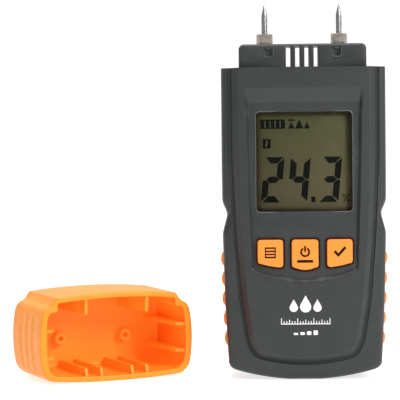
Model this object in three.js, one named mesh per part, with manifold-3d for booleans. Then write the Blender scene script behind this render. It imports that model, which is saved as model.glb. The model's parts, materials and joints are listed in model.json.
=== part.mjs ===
// A pin-type moisture meter for timber and flooring, standing on its lower edge, with its
// protective cap lying beside it. Millimetres, +Z up along the meter, the front towards -Y.
// The origin is the middle of the flat patch that the meter stands on.

import * as THREE from "three";
import { mergeVertices } from "three/addons/utils/BufferGeometryUtils.js";
import Module from "manifold-3d";

const wasm = await Module();
wasm.setup();

// ---------------------------------------------------------------- driving dimensions

const gap = 0.3; // clearance between touching pieces
const reach = 80; // how far a cutting block runs past what it cuts

// the case, seen from the front: half widths at heights
const caseTop = 114.3;
const caseFront = -15.5;
const caseRear = 15.5;
const partingY = -3;
const standHalf = 6; // half width of the flat patch at the bottom
const caseSide = [
  [28.45, 14.5],
  [29.2, 29.1],
  [29.75, 51],
  [29.8, 54.1],
  [28, 61],
  [29.9, 65.6],
  [30, 77],
];
const caseHalf = 30;
const wall = 2.4;
const frontCrown = { half: 24, sag: 1.1 }; // the front face falls away by sag at half
const rearCrown = { half: 27, sag: 1.3 };
const sideCrown = { half: 11, sag: 0.9 };

// the step round the front edge and the raised panel inside it
const stepY = -12.1;
const edgeRound = { depth: 3.5, width: 2.4 };
const rearRound = 2.6;
const panelFlare = { depth: 2.9, width: 1.85 };
const panelSide = [
  [18.55, 15.4],
  [20.85, 29.7],
  [22.6, 51.4],
  [23.1, 61.3],
  [23.7, 75.1],
  [24.05, 85],
];
const panelCorner = [17, 11.65];
const panelBottom = 9;
const frontWall = 2.6; // under the raised panel

// the display window and what stands behind it
const windowHalf = 17.5;
const windowLow = 61.8;
const windowHigh = 98.15;
const bezelDepth = 1.1;
const lensThickness = 1;
const glassThickness = 1.6;
const boardFront = -7.6;
const boardRear = -6;
const boardHalf = 19.6;
const boardLow = 18;
const boardHigh = 109;

// buttons
const buttonTop = 51.7;
const buttonPitch = 12.6;
const buttonTravel = 0.8;
const buttonProud = 0.35;
const keyZoneDepth = 0.5;

// head, collets, nuts and probe pins
const headHalf = 23.3;
const headFront = -6;
const headRear = 10;
const headTop = 123.3;
const slotWidth = 1.95;
const slotPitch = 3.4;
const pinX = 13.8;
const pinY = 2;
const pinRadius = 1.1;
const pinTip = 138.8;
const pinConeBase = 134.9;
const nutTop = 127.3;
const nutRadius = 3.03; // across the corners
const colletRadius = 2.4;
const colletStubRadius = 1.9;

// battery compartment in the rear cover
const doorHalf = 14.7;
const doorLow = 6.3;
const doorHigh = 57.3;
const doorThickness = 2.4;
const batteryHalf = 13.25;
const batteryDepth = 17.5;
const batteryLow = 4.6;
const batteryBody = 46.4;

// case screws
const screwPlaces = [
  [-21.5, 13],
  [21.5, 13],
  [-23.5, 99],
  [23.5, 99],
];
const bossRadius = 3;
const rearBossRadius = 3.8;

// side grips
const gripLow = 12;
const gripHigh = 47.2;
const gripHalfY = 7;
const gripThickness = 1.3;
const bumpProud = 1.4;
const bumpHeight = 4.9;
const bumpHeights = [14.7, 22.1, 29.5, 36.9, 44.3];

// protective cap, in its own frame: mouth at 0, closed end at capLength
const capLength = 31.2;
const capHalf = 30.45; // half its width
const capFront = -17.3; // a little proud of the case, so that it slips over the top edge
const capCrown = { half: 24, sag: 1.36 };
const capStepHalf = 23.6; // half width of the raised panel's part
const capWall = 2;
const capEnd = 2.4;
const capRibStart = 2; // from the mouth
const upperRib = { x: 12, tall: 5.9 };
const lowerRib = { places: [6.1, 12], tall: 3.2 };
const sideRib = { places: [-4, 6], tall: 3.6 };
const ribHalf = 0.65;
const capRing = { x: 13.2, y: 1.8, depth: 25.2, radius: 2.6, bore: 1.4, boreDepth: 2.4 };
const fluteDepths = [8.4, 14.2, 20];
const flute = { radius: 4, sink: 0.4, low: -6, high: 10 };
const capMouth = new THREE.Vector2(-69.15, -9.7);
const capYaw = THREE.MathUtils.degToRad(26.4);

// ---------------------------------------------------------------- solids

function toSolid(geometry) {
  const bare = geometry.index ? geometry.clone() : geometry;
  bare.deleteAttribute("normal");
  bare.deleteAttribute("uv");
  const merged = mergeVertices(bare, 1e-4);
  const mesh = new wasm.Mesh({
    numProp: 3,
    vertProperties: new Float32Array(merged.attributes.position.array),
    triVerts: new Uint32Array(merged.index.array),
  });
  return new wasm.Manifold(mesh);
}

function block(x0, x1, y0, y1, z0, z1) {
  const geometry = new THREE.BoxGeometry(x1 - x0, y1 - y0, z1 - z0);
  geometry.translate((x0 + x1) / 2, (y0 + y1) / 2, (z0 + z1) / 2);
  return toSolid(geometry);
}

// a round bar along Z from z0 to z1
function barZ(x, y, z0, z1, radius, sides = 20, topRadius = radius) {
  const geometry = new THREE.CylinderGeometry(topRadius, radius, z1 - z0, sides);
  geometry.rotateX(Math.PI / 2);
  geometry.translate(x, y, (z0 + z1) / 2);
  return toSolid(geometry);
}

// a round bar along Y from y0 to y1
function barY(x, z, y0, y1, radius, sides = 16) {
  const geometry = new THREE.CylinderGeometry(radius, radius, y1 - y0, sides);
  geometry.translate(x, (y0 + y1) / 2, z);
  return toSolid(geometry);
}

// a round bar along X from x0 to x1
function barX(y, z, x0, x1, radius, sides = 12) {
  const geometry = new THREE.CylinderGeometry(radius, radius, x1 - x0, sides);
  geometry.rotateZ(Math.PI / 2);
  geometry.translate((x0 + x1) / 2, y, z);
  return toSolid(geometry);
}

// a shape drawn in X and Z, filled from yBack to yFront, with an optional bevel at both ends
function slab(shape, yBack, yFront, bevel = null, curveSegments = 6) {
  const settings = { depth: yBack - yFront, bevelEnabled: false, curveSegments };
  let start = 0;
  if (bevel) {
    start = bevel.depth;
    settings.bevelEnabled = true;
    settings.bevelThickness = bevel.depth;
    settings.bevelSize = bevel.width;
    settings.bevelOffset = bevel.outward ? 0 : -bevel.width;
    settings.bevelSegments = bevel.segments ?? 1;
    settings.depth -= 2 * bevel.depth;
  }
  const geometry = new THREE.ExtrudeGeometry(shape, settings);
  geometry.translate(0, 0, start - yBack);
  geometry.rotateX(Math.PI / 2);
  return toSolid(geometry);
}

// a bar along Z so wide that a stretch of it is a gentle crown, with its flat middle facet at y.
// way is -1 for a crown facing -Y and 1 for one facing +Y
function crownBar(crown, y, way) {
  const facets = 352;
  const radius = (crown.half ** 2 + crown.sag ** 2) / (2 * crown.sag);
  const corner = radius / Math.cos(Math.PI / facets);
  const geometry = new THREE.CylinderGeometry(corner, corner, 4 * reach, facets);
  geometry.rotateY(Math.PI / facets);
  geometry.rotateX(Math.PI / 2);
  geometry.translate(0, y - way * radius, 0);
  return toSolid(geometry);
}

function joined(first, ...others) {
  return others.reduce((solid, other) => solid.add(other), first);
}

function cutBy(first, ...others) {
  return others.reduce((solid, other) => solid.subtract(other), first);
}

// ---------------------------------------------------------------- case outlines

// the case outline pulled in by inset, running up to top
function caseOutline(inset, top) {
  const right = caseSide.map(([x, z]) => [x - inset, z]);
  const shape = new THREE.Shape();
  shape.moveTo(-standHalf, inset);
  shape.lineTo(standHalf, inset);
  shape.quadraticCurveTo(14.7, 0.56 + inset, 25 - 0.8 * inset, 3.3 + inset);
  shape.quadraticCurveTo(27.85 - inset, 4.06 + inset, 28 - inset, 6.7 + 0.6 * inset);
  right.forEach(([x, z]) => shape.lineTo(x, z));
  shape.lineTo(caseHalf - inset, top);
  shape.lineTo(inset - caseHalf, top);
  right.reverse().forEach(([x, z]) => shape.lineTo(-x, z));
  shape.lineTo(inset - 28, 6.7 + 0.6 * inset);
  shape.quadraticCurveTo(inset - 27.85, 4.06 + inset, 0.8 * inset - 25, 3.3 + inset);
  shape.quadraticCurveTo(-14.7, 0.56 + inset, -standHalf, inset);
  return shape;
}

// the raised front panel's outline pulled in by inset
function panelOutline(inset, top) {
  const right = panelSide.map(([x, z]) => [x - inset, z]);
  const [cornerX, cornerZ] = panelCorner;
  const shape = new THREE.Shape();
  shape.moveTo(inset - cornerX, cornerZ + inset);
  shape.quadraticCurveTo(0, 2 * panelBottom - cornerZ + inset, cornerX - inset, cornerZ + inset);
  right.forEach(([x, z]) => shape.lineTo(x, z));
  shape.lineTo(right.at(-1)[0], top);
  shape.lineTo(-right.at(-1)[0], top);
  right.reverse().forEach(([x, z]) => shape.lineTo(-x, z));
  return shape;
}

// ---------------------------------------------------------------- front cover

const aboveCase = block(-reach, reach, -reach, reach, caseTop, caseTop + reach);
const openTop = caseTop + 12; // outlines run past the top and are trimmed, so its edge stays sharp

function gripPocket() {
  const ring = slab(caseOutline(-reach / 2, openTop), gripHalfY + gap, -gripHalfY - gap);
  const core = slab(caseOutline(gripThickness + gap, openTop), reach, -reach);
  const span = block(-reach, reach, -reach, reach, gripLow - gap, gripHigh + gap);
  return cutBy(ring, core).intersect(span);
}

// the key zone: a shallow recess from the window's bezel down to the curved crease
function keyZone() {
  const shape = new THREE.Shape();
  shape.moveTo(-19.1, 41);
  shape.quadraticCurveTo(0, 32.4, 19.1, 41);
  shape.lineTo(20.2, 58);
  shape.lineTo(-20.2, 58);
  return shape;
}

function bezelZone() {
  const shape = new THREE.Shape();
  shape.moveTo(-20.2, 58);
  shape.lineTo(20.2, 58);
  shape.lineTo(21.3, 104.2);
  shape.lineTo(-21.3, 104.2);
  return shape;
}

// one button's outline, grown by grow. side is -1, 0 or 1 for left, middle and right
function buttonOutline(side, grow) {
  const half = (side === 0 ? 4.85 : 4.65) + grow;
  const radius = 1.3;
  const outer = side === 0 ? 41.4 : 42.9;
  const inner = side === 0 ? 41.4 : 41.6;
  const lowLeft = (side < 0 ? outer : inner) - grow;
  const lowRight = (side > 0 ? outer : inner) - grow;
  const centre = side * buttonPitch;
  const top = buttonTop + grow;
  const sag = side === 0 ? 0.8 : 0.2;
  const shape = new THREE.Shape();
  shape.moveTo(centre - half + radius, lowLeft);
  shape.quadraticCurveTo(centre, (lowLeft + lowRight) / 2 - 2 * sag, centre + half - radius, lowRight);
  shape.quadraticCurveTo(centre + half, lowRight, centre + half, lowRight + radius);
  shape.lineTo(centre + half, top - radius);
  shape.quadraticCurveTo(centre + half, top, centre + half - radius, top);
  shape.lineTo(centre - half + radius, top);
  shape.quadraticCurveTo(centre - half, top, centre - half, top - radius);
  shape.lineTo(centre - half, lowLeft + radius);
  shape.quadraticCurveTo(centre - half, lowLeft, centre - half + radius, lowLeft);
  return shape;
}

const boardScrewPlaces = [
  [-17.3, 24],
  [17.3, 24],
  [-17.6, 103.3],
  [17.6, 103.3],
];
const innerFront = caseFront + frontWall;
const neckFront = -5;
const neckRear = 9;
const neckHalf = 19;
const topWallLow = 112;

function neckHole() {
  return block(
    -neckHalf - gap, neckHalf + gap, neckFront - gap, neckRear + gap, topWallLow - 1, caseTop + 1,
  );
}

function frontCover() {
  const rim = slab(caseOutline(0, openTop), 8, stepY, { ...edgeRound, segments: 3 });
  const panel = slab(panelOutline(0, openTop), 2, caseFront, { ...panelFlare, outward: true });
  const crown = crownBar(frontCrown, caseFront, -1);
  const outside = cutBy(joined(rim, panel), aboveCase).intersect(crown);
  const keyFloor = crownBar(frontCrown, caseFront + keyZoneDepth, -1);
  const hollow = joined(
    slab(caseOutline(wall, topWallLow), 20, stepY + 1.9),
    slab(panelOutline(1.4, topWallLow), 20, innerFront),
  );
  let shell = cutBy(
    outside,
    hollow,
    slab(bezelZone(), caseFront + bezelDepth, caseFront - 5),
    cutBy(slab(keyZone(), caseFront + 3, caseFront - 5), keyFloor),
    block(-windowHalf, windowHalf, -reach, innerFront + 1, windowLow, windowHigh),
    neckHole(),
  );
  screwPlaces.forEach(([x, z]) => {
    shell = joined(shell, barY(x, z, stepY + 1, partingY, bossRadius));
  });
  boardScrewPlaces.forEach(([x, z]) => {
    shell = joined(shell, barY(x, z, innerFront - 0.8, boardFront - gap, 2, 12));
  });
  screwPlaces.forEach(([x, z]) => {
    shell = cutBy(shell, barY(x, z, stepY + 2.4, partingY + 1, 1.5, 12));
  });
  boardScrewPlaces.forEach(([x, z]) => {
    shell = cutBy(shell, barY(x, z, innerFront + 0.6, 0, 1.2, 10));
  });
  [-1, 0, 1].forEach((side) => {
    shell = cutBy(shell, slab(buttonOutline(side, gap), innerFront + 1, -reach, null, 3));
  });
  const behind = block(-reach, reach, partingY - gap / 2, reach, -reach, 2 * reach);
  return cutBy(shell, behind, gripPocket());
}

// ---------------------------------------------------------------- rear cover and battery door

const doorAxisY = caseRear - doorThickness / 2;
const doorAxisZ = doorHigh - doorThickness / 2;
const doorOpening = { half: doorHalf + gap, low: doorLow - gap, high: doorHigh + gap };
const hingePinRadius = 0.6;
const hingePinReach = 1.5;

function rearCover() {
  const round = { depth: rearRound, width: rearRound, segments: 3 };
  const body = slab(caseOutline(0, openTop), caseRear, -12, round);
  const outside = cutBy(body, aboveCase).intersect(crownBar(rearCrown, caseRear, 1));
  const hollow = slab(caseOutline(wall, topWallLow), caseRear - wall, -20);
  let shell = cutBy(outside, hollow, neckHole());
  const opening = block(
    -doorOpening.half, doorOpening.half, caseRear - wall - 1, reach, doorOpening.low, doorOpening.high,
  );
  [-1, 1].forEach((side) => {
    const inner = side * doorOpening.half;
    const outer = side * (doorOpening.half + 1.2);
    const bearing = side * (doorOpening.half + 3);
    shell = joined(
      shell,
      block(Math.min(inner, outer), Math.max(inner, outer), partingY + 1, caseRear - 1, 4.2, 59),
      block(Math.min(inner, bearing), Math.max(inner, bearing), 11, caseRear - 1, 54, 59),
    );
  });
  shell = joined(shell, block(-doorOpening.half - 1, doorOpening.half + 1, 5, caseRear - 1, 58, 59.2));
  screwPlaces.forEach(([x, z]) => {
    shell = joined(shell, barY(x, z, partingY, caseRear - 1, rearBossRadius));
  });
  screwPlaces.forEach(([x, z]) => {
    shell = cutBy(shell, barY(x, z, partingY - 1, caseRear, 1.6, 12), barY(x, z, 12, reach, 3));
  });
  const bearingHole = barX(
    doorAxisY, doorAxisZ, -doorOpening.half - hingePinReach, doorOpening.half + hingePinReach,
    hingePinRadius + gap,
  );
  const front = block(-reach, reach, -reach, partingY + gap / 2, -reach, 2 * reach);
  return cutBy(shell, opening, bearingHole, front, gripPocket());
}

// the door hangs on two stub pins at its top edge, and has a thumb tab between two slits
function batteryDoor() {
  const plate = block(-doorHalf, doorHalf, caseRear - doorThickness, caseRear, doorLow, doorAxisZ);
  const roundedTop = barX(doorAxisY, doorAxisZ, -doorHalf, doorHalf, doorThickness / 2, 16);
  const pins = barX(
    doorAxisY, doorAxisZ, -doorHalf - hingePinReach, doorHalf + hingePinReach, hingePinRadius, 10,
  );
  let door = joined(plate, roundedTop, pins);
  [-6.2, 6.2].forEach((x) => {
    door = cutBy(door, block(x - 0.4, x + 0.4, 0, reach, doorLow - 1, doorLow + 9));
  });
  const thumbHollow = new THREE.CylinderGeometry(14, 14, 9, 32);
  thumbHollow.rotateZ(Math.PI / 2);
  thumbHollow.translate(0, caseRear + 13.1, doorLow + 6);
  return cutBy(door, toSolid(thumbHollow)).intersect(crownBar(rearCrown, caseRear, 1));
}

// ---------------------------------------------------------------- side grips

function sideGrip(side) {
  const skin = cutBy(
    slab(caseOutline(0, openTop), gripHalfY, -gripHalfY),
    slab(caseOutline(gripThickness, openTop), reach, -reach),
  );
  const span = block(
    Math.min(0, side * reach), Math.max(0, side * reach), -reach, reach, gripLow, gripHigh,
  );
  let grip = skin.intersect(span);
  bumpHeights.forEach((height) => {
    grip = joined(grip, gripBump(side, height));
  });
  return grip;
}

// a rounded bar across the grip, standing proud of the case side
function gripBump(side, height) {
  const base = sideAt(height) - 0.8;
  const proud = 0.8 + bumpProud;
  const half = bumpHeight / 2;
  const shape = new THREE.Shape();
  shape.moveTo(side * base, height - half);
  shape.bezierCurveTo(
    side * (base + proud * 1.33), height - half * 0.85,
    side * (base + proud * 1.33), height + half * 0.85,
    side * base, height + half,
  );
  const bevel = { depth: 0.9, width: 0.7, segments: 2 };
  return slab(shape, gripHalfY - 0.3, 0.3 - gripHalfY, bevel, 8);
}

// the case's half width at a height
function sideAt(height) {
  const next = caseSide.findIndex(([, z]) => z > height);
  const [x0, z0] = caseSide[next - 1];
  const [x1, z1] = caseSide[next];
  return x0 + ((x1 - x0) * (height - z0)) / (z1 - z0);
}

// ---------------------------------------------------------------- display

const lensFront = innerFront + gap;
const lensRear = lensFront + lensThickness;
const glassFront = lensRear + gap;
const glassRear = glassFront + glassThickness;
const glassHalf = 18.4;
const glassLow = 60.2;
const glassHigh = 99.6;

function lens() {
  const half = windowHalf + 1.6;
  return block(-half, half, lensFront, lensRear, windowLow - 1.6, windowHigh + 1.6);
}

function displayGlass() {
  return block(-glassHalf, glassHalf, glassFront, glassRear, glassLow, glassHigh);
}

// a frame that holds the glass off the board, open over the two contact strips
function displayHolder() {
  const half = glassHalf + gap + 1.1;
  const low = glassLow - gap - 1.1;
  const high = glassHigh + gap + 1.1;
  const outside = block(-half, half, glassFront, boardFront - gap, low, high);
  return cutBy(
    outside,
    block(-glassHalf - gap, glassHalf + gap, -reach, glassRear + gap, glassLow - gap, glassHigh + gap),
    block(-glassHalf + 1.5, glassHalf - 1.5, -reach, reach, glassLow + 1, glassHigh - 1),
  );
}

function contactRubber(height) {
  const half = glassHalf - 2;
  return block(-half, half, glassRear + gap, boardFront - gap, height - 1.2, height + 1.2);
}

// ---------------------------------------------------------------- board and what it carries

function mainBoard() {
  let board = block(-boardHalf, boardHalf, boardFront, boardRear, boardLow, boardHigh);
  boardScrewPlaces.forEach(([x, z]) => {
    board = cutBy(board, barY(x, z, -reach, reach, 1.3, 12));
  });
  return board;
}

const partsFace = boardRear + gap; // where the pieces on the board's rear start

function controllerChip() {
  return block(-5, 5, partsFace, partsFace + 1.4, 70, 80);
}

function amplifierChip() {
  return block(-2, 2, partsFace, partsFace + 1.6, 96, 101);
}

function crystal() {
  return block(8, 12, partsFace, partsFace + 1.8, 70, 77);
}

function buzzer() {
  const body = barY(-11, 88, partsFace, partsFace + 5.5, 6, 24);
  return cutBy(body, barY(-11, 88, partsFace + 4, reach, 1.2, 12));
}

function boardScrew([x, z]) {
  const head = barY(x, z, boardRear + gap, boardRear + 1.6, 1.9, 14);
  const shank = barY(x, z, innerFront + 1.2, boardRear + 1, 0.9, 10);
  return cutBy(joined(head, shank), crossRecess(x, z, boardRear + 1, 2.4, 0.55));
}

// a cross-shaped driver recess opening towards +Y
function crossRecess(x, z, floor, length, width) {
  return joined(
    block(x - length / 2, x + length / 2, floor, reach, z - width / 2, z + width / 2),
    block(x - width / 2, x + width / 2, floor, reach, z - length / 2, z + length / 2),
  );
}

function caseScrew([x, z]) {
  const head = barY(x, z, 12 + gap, 14.5, 2.6, 18);
  const shank = barY(x, z, stepY + 3, 13, 1.2, 12);
  return cutBy(joined(head, shank), crossRecess(x, z, 13.4, 3.4, 0.8));
}

// ---------------------------------------------------------------- keys

const flangeFront = innerFront + gap;
const flangeRear = flangeFront + 1;
const padFront = flangeRear + 1.1 + buttonTravel + 0.2;

// a button cap with a flange behind the front wall and a stem towards its contact pad
function button(side) {
  const front = caseFront + keyZoneDepth - buttonProud;
  const bevel = { depth: 0.5, width: 0.5, segments: 2 };
  const cap = slab(buttonOutline(side, 0), flangeRear + 0.4, front, bevel, 3);
  const flange = slab(buttonOutline(side, 0.75), flangeRear, flangeFront, null, 3);
  const trim = block(-reach, reach, flangeRear, reach, -reach, reach);
  const stem = barY(side * buttonPitch, 46.6, flangeRear - 0.5, flangeRear + 1.1, 2, 14);
  return joined(cutBy(joined(cap, flange), trim), stem);
}

function keypadMat() {
  const low = 40;
  const high = 54;
  let mat = block(-18.8, 18.8, padFront + 0.4, boardFront - gap, low, high);
  [-1, 0, 1].forEach((side) => {
    mat = joined(mat, barY(side * buttonPitch, 46.6, padFront, padFront + 1, 3.2, 16));
  });
  return mat;
}

// ---------------------------------------------------------------- head

// the insulating block that carries the two collets and is clamped in the case's top
function probeBlock() {
  const bevel = { depth: 0.9, width: 1.1, segments: 2 };
  const head = slab(headOutline(), headRear, headFront, bevel, 3);
  const neck = block(-neckHalf, neckHalf, neckFront, neckRear, 110, caseTop + 1);
  const foot = block(-neckHalf - 1.4, neckHalf + 1.4, neckFront, neckRear + 2, 105.6, topWallLow - gap);
  let body = joined(head, neck, foot);
  [-1.5, -0.5, 0.5, 1.5].forEach((step) => {
    const x = step * slotPitch;
    const slot = block(
      x - slotWidth / 2, x + slotWidth / 2, -reach, reach, caseTop + gap + 0.2, headTop - 0.7,
    );
    body = cutBy(body, slot);
  });
  [-1, 1].forEach((side) => {
    const x = side * 12.5;
    body = cutBy(
      body,
      block(x - 1.45, x + 1.45, -reach, headFront + 1.2, 118.9, headTop - 1.5),
      barZ(side * pinX, pinY, 100, headTop + 1, colletRadius + gap),
    );
  });
  return body;
}

function headOutline() {
  const low = caseTop + gap;
  const shape = new THREE.Shape();
  shape.moveTo(-headHalf, low);
  shape.lineTo(headHalf, low);
  shape.lineTo(headHalf, headTop - 2);
  shape.quadraticCurveTo(headHalf, headTop, headHalf - 2, headTop);
  shape.lineTo(2 - headHalf, headTop);
  shape.quadraticCurveTo(-headHalf, headTop, -headHalf, headTop - 2);
  return shape;
}

// a slit brass sleeve that grips the pin, with a narrower threaded end under the nut
function collet(side) {
  const x = side * pinX;
  const sleeve = barZ(x, pinY, 104, headTop - 0.1, colletRadius, 20);
  const stub = barZ(x, pinY, headTop - 1, nutTop - 1.3, colletStubRadius, 20);
  const bore = barZ(x, pinY, 108, nutTop, pinRadius + gap, 14);
  return cutBy(joined(sleeve, stub), bore);
}

// a flat spring strip from under the collet down to the board
function contactStrip(side) {
  const x = side * pinX;
  return joined(
    block(x - 1.6, x + 1.6, -5.7, pinY + 2, 103.1, 103.7),
    block(x - 1.6, x + 1.6, -5.7, -5.1, 96, 103.4),
  );
}

function nut(side) {
  const x = side * pinX;
  const hexagon = new THREE.CylinderGeometry(nutRadius, nutRadius, nutTop - headTop - gap, 6);
  hexagon.rotateY(Math.PI / 6);
  hexagon.rotateX(Math.PI / 2);
  hexagon.translate(x, pinY, (nutTop + headTop + gap) / 2);
  return cutBy(
    toSolid(hexagon),
    barZ(x, pinY, headTop, nutTop - 1, colletStubRadius + gap, 18),
    barZ(x, pinY, headTop, nutTop + 1, pinRadius + gap, 14),
  );
}

function probePin(side) {
  const foot = 109;
  const profile = [
    [0, foot],
    [pinRadius - 0.2, foot],
    [pinRadius, foot + 0.3],
    [pinRadius, pinConeBase],
    [pinRadius * 0.62, pinConeBase + 1.6],
    [0.12, pinTip - 0.1],
    [0, pinTip],
  ].map(([radius, height]) => new THREE.Vector2(radius, height));
  const geometry = new THREE.LatheGeometry(profile, 18);
  geometry.rotateX(Math.PI / 2);
  geometry.translate(side * pinX, pinY, 0);
  return toSolid(geometry);
}

// ---------------------------------------------------------------- battery

const batteryY = -4.7;

function battery() {
  const radius = 2.2;
  const shape = new THREE.Shape();
  const low = batteryY;
  const high = batteryY + batteryDepth;
  shape.moveTo(radius - batteryHalf, low);
  shape.lineTo(batteryHalf - radius, low);
  shape.quadraticCurveTo(batteryHalf, low, batteryHalf, low + radius);
  shape.lineTo(batteryHalf, high - radius);
  shape.quadraticCurveTo(batteryHalf, high, batteryHalf - radius, high);
  shape.lineTo(radius - batteryHalf, high);
  shape.quadraticCurveTo(-batteryHalf, high, -batteryHalf, high - radius);
  shape.lineTo(-batteryHalf, low + radius);
  shape.quadraticCurveTo(-batteryHalf, low, radius - batteryHalf, low);
  const settings = { depth: batteryBody, bevelEnabled: false, curveSegments: 3 };
  const geometry = new THREE.ExtrudeGeometry(shape, settings);
  geometry.translate(0, 0, batteryLow);
  const top = batteryLow + batteryBody;
  const middle = batteryY + batteryDepth / 2;
  return joined(
    toSolid(geometry),
    barZ(-6.35, middle, top - 0.5, top + 2, 2.9, 18),
    barZ(6.35, middle, top - 0.5, top + 2, 4, 6),
  );
}

function batterySnap() {
  const middle = batteryY + batteryDepth / 2;
  const top = batteryLow + batteryBody + 2 + gap;
  return block(-12.6, 12.6, middle - 5.5, middle + 5.5, top, top + 2.6);
}

function batteryFoam() {
  return block(-11, 11, 0, 10, 3.4, batteryLow - gap);
}

// a lead from the snap to the board
function lead(side) {
  const start = batteryLow + batteryBody + 4.9 + gap;
  const route = new THREE.CatmullRomCurve3([
    new THREE.Vector3(side * 9, 2.5, start),
    new THREE.Vector3(side * 9, 2.2, start + 3.2),
    new THREE.Vector3(side * 8, -1.5, start + 6.5),
    new THREE.Vector3(side * 7, -4.9, start + 7.5),
  ]);
  const section = new THREE.Shape();
  section.absarc(0, 0, 0.7, 0, 2 * Math.PI);
  const settings = { steps: 8, curveSegments: 8, extrudePath: route };
  return toSolid(new THREE.ExtrudeGeometry(section, settings));
}

// ---------------------------------------------------------------- protective cap

// how far a crowned face has fallen away at a distance from its middle
function fall(crown, distance) {
  return crown.sag * (distance / crown.half) ** 2;
}

// the cap's cross-section, pulled in by inset
function capSection(inset) {
  const sideMiddle = 2;
  const side = (y) => capHalf - inset - fall(sideCrown, y - sideMiddle);
  const edge = capFront + fall(capCrown, capStepHalf);
  const front = [0, 8, 16, capStepHalf - 0.52 * inset].map((x) => [
    x, capFront + inset + fall(capCrown, x),
  ]);
  const step = [
    [25.5 - 0.7 * inset, edge + 2.7 + 0.75 * inset],
    [27.9 - 0.73 * inset, edge + 4.2 + 0.73 * inset],
    [28.7 - 0.95 * inset, edge + 5.9 + 0.35 * inset],
  ];
  const flank = [-7.8 + 0.2 * inset, -4.6, -1.4, 2, 5.8, 9.4, 12.6 - 0.4 * inset];
  const rear = [27 - inset, 18, 9, 0].map((x) => [x, caseRear - inset - fall(rearCrown, x)]);
  const right = [
    ...front,
    ...step,
    ...flank.map((y) => [side(y), y]),
    [28.6 - inset, 13.7 - 0.7 * inset],
    ...rear,
  ];
  const shape = new THREE.Shape();
  right.forEach(([x, y], index) => (index ? shape.lineTo(x, y) : shape.moveTo(x, y)));
  right.slice(1, -1).reverse().forEach(([x, y]) => shape.lineTo(-x, y));
  return shape;
}

// a section filled upwards from z0 to z1, its upper end rounded over by bevel
function capSlab(inset, z0, z1, bevel) {
  const settings = {
    depth: z1 - z0 - bevel.depth,
    bevelEnabled: true,
    bevelThickness: bevel.depth,
    bevelSize: bevel.width,
    bevelOffset: -bevel.width,
    bevelSegments: 3,
  };
  const geometry = new THREE.ExtrudeGeometry(capSection(inset), settings);
  geometry.translate(0, 0, z0);
  const below = block(-reach, reach, -reach, reach, z0 - reach, z0);
  return cutBy(toSolid(geometry), below);
}

function capShell() {
  const outside = capSlab(0, 0, capLength, { depth: 1.8, width: 1.5 });
  const inside = capSlab(capWall, -1, capLength - capEnd, { depth: 1, width: 0.9 });
  const start = capRibStart;
  const end = capLength - 1;
  const ribs = [];
  [-1, 1].forEach((side) => {
    const upper = side * upperRib.x;
    const tip = capFront + capWall + upperRib.tall;
    ribs.push(block(upper - ribHalf, upper + ribHalf, capFront + 1, tip, start, end));
    lowerRib.places.forEach((x) => {
      const lower = side * x;
      const top = caseRear - capWall - lowerRib.tall;
      ribs.push(block(lower - ribHalf, lower + ribHalf, top, caseRear - 1, start, end));
    });
    sideRib.places.forEach((y) => {
      const face = side * (caseHalf - capWall - sideRib.tall);
      const root = side * (caseHalf - 1);
      const [x0, x1] = [Math.min(face, root), Math.max(face, root)];
      ribs.push(block(x0, x1, y - ribHalf, y + ribHalf, start, end));
    });
  });
  let cap = joined(cutBy(outside, inside), ...ribs).intersect(outside);
  [-1, 1].forEach((side) => {
    const x = side * capRing.x;
    const bottom = capRing.depth + capRing.boreDepth;
    cap = joined(cap, barZ(x, capRing.y, capRing.depth, end, capRing.radius, 18));
    cap = cutBy(cap, barZ(x, capRing.y, capRing.depth - 1, bottom, capRing.bore, 14));
  });
  return cutBy(cap, capFlutes());
}

// shallow finger flutes across both flanks
function capFlutes() {
  const flutes = [];
  [-1, 1].forEach((side) => {
    fluteDepths.forEach((depth) => {
      const x = side * (capHalf + flute.radius - flute.sink);
      flutes.push(barY(x, depth, flute.low, flute.high, flute.radius, 24));
    });
  });
  return joined(...flutes);
}

// ---------------------------------------------------------------- assembly

const finishes = {
  housing: { color: 0x3c3e3e, roughness: 0.62, metalness: 0 },
  orange: { color: 0xf58a26, roughness: 0.45, metalness: 0 },
  rubber: { color: 0xee7c20, roughness: 0.8, metalness: 0 },
  lens: { color: 0xb9bcae, roughness: 0.08, metalness: 0 },
  display: { color: 0x5d5b42, roughness: 0.25, metalness: 0 },
  frame: { color: 0xd8d6cc, roughness: 0.6, metalness: 0 },
  contact: { color: 0x2b2b2c, roughness: 0.85, metalness: 0 },
  mat: { color: 0x5b5d60, roughness: 0.85, metalness: 0 },
  board: { color: 0x1f5a34, roughness: 0.45, metalness: 0 },
  chip: { color: 0x1b1b1c, roughness: 0.5, metalness: 0 },
  steel: { color: 0xc9cac6, roughness: 0.22, metalness: 1 },
  nickel: { color: 0xa79f92, roughness: 0.3, metalness: 1 },
  brass: { color: 0xc2a15c, roughness: 0.35, metalness: 1 },
  screw: { color: 0x8d8f92, roughness: 0.35, metalness: 1 },
  battery: { color: 0x34557a, roughness: 0.35, metalness: 0.6 },
  foam: { color: 0x3a3a3c, roughness: 0.95, metalness: 0 },
  redLead: { color: 0xb02a22, roughness: 0.5, metalness: 0 },
  blackLead: { color: 0x1d1d1f, roughness: 0.5, metalness: 0 },
};

function piece(name, solid, finish) {
  const mesh = solid.getMesh();
  const geometry = new THREE.BufferGeometry();
  geometry.setAttribute("position", new THREE.BufferAttribute(mesh.vertProperties, 3));
  geometry.setIndex(new THREE.BufferAttribute(mesh.triVerts, 1));
  geometry.computeVertexNormals();
  const result = new THREE.Mesh(geometry, new THREE.MeshStandardMaterial(finishes[finish]));
  result.name = name;
  return result;
}

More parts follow.
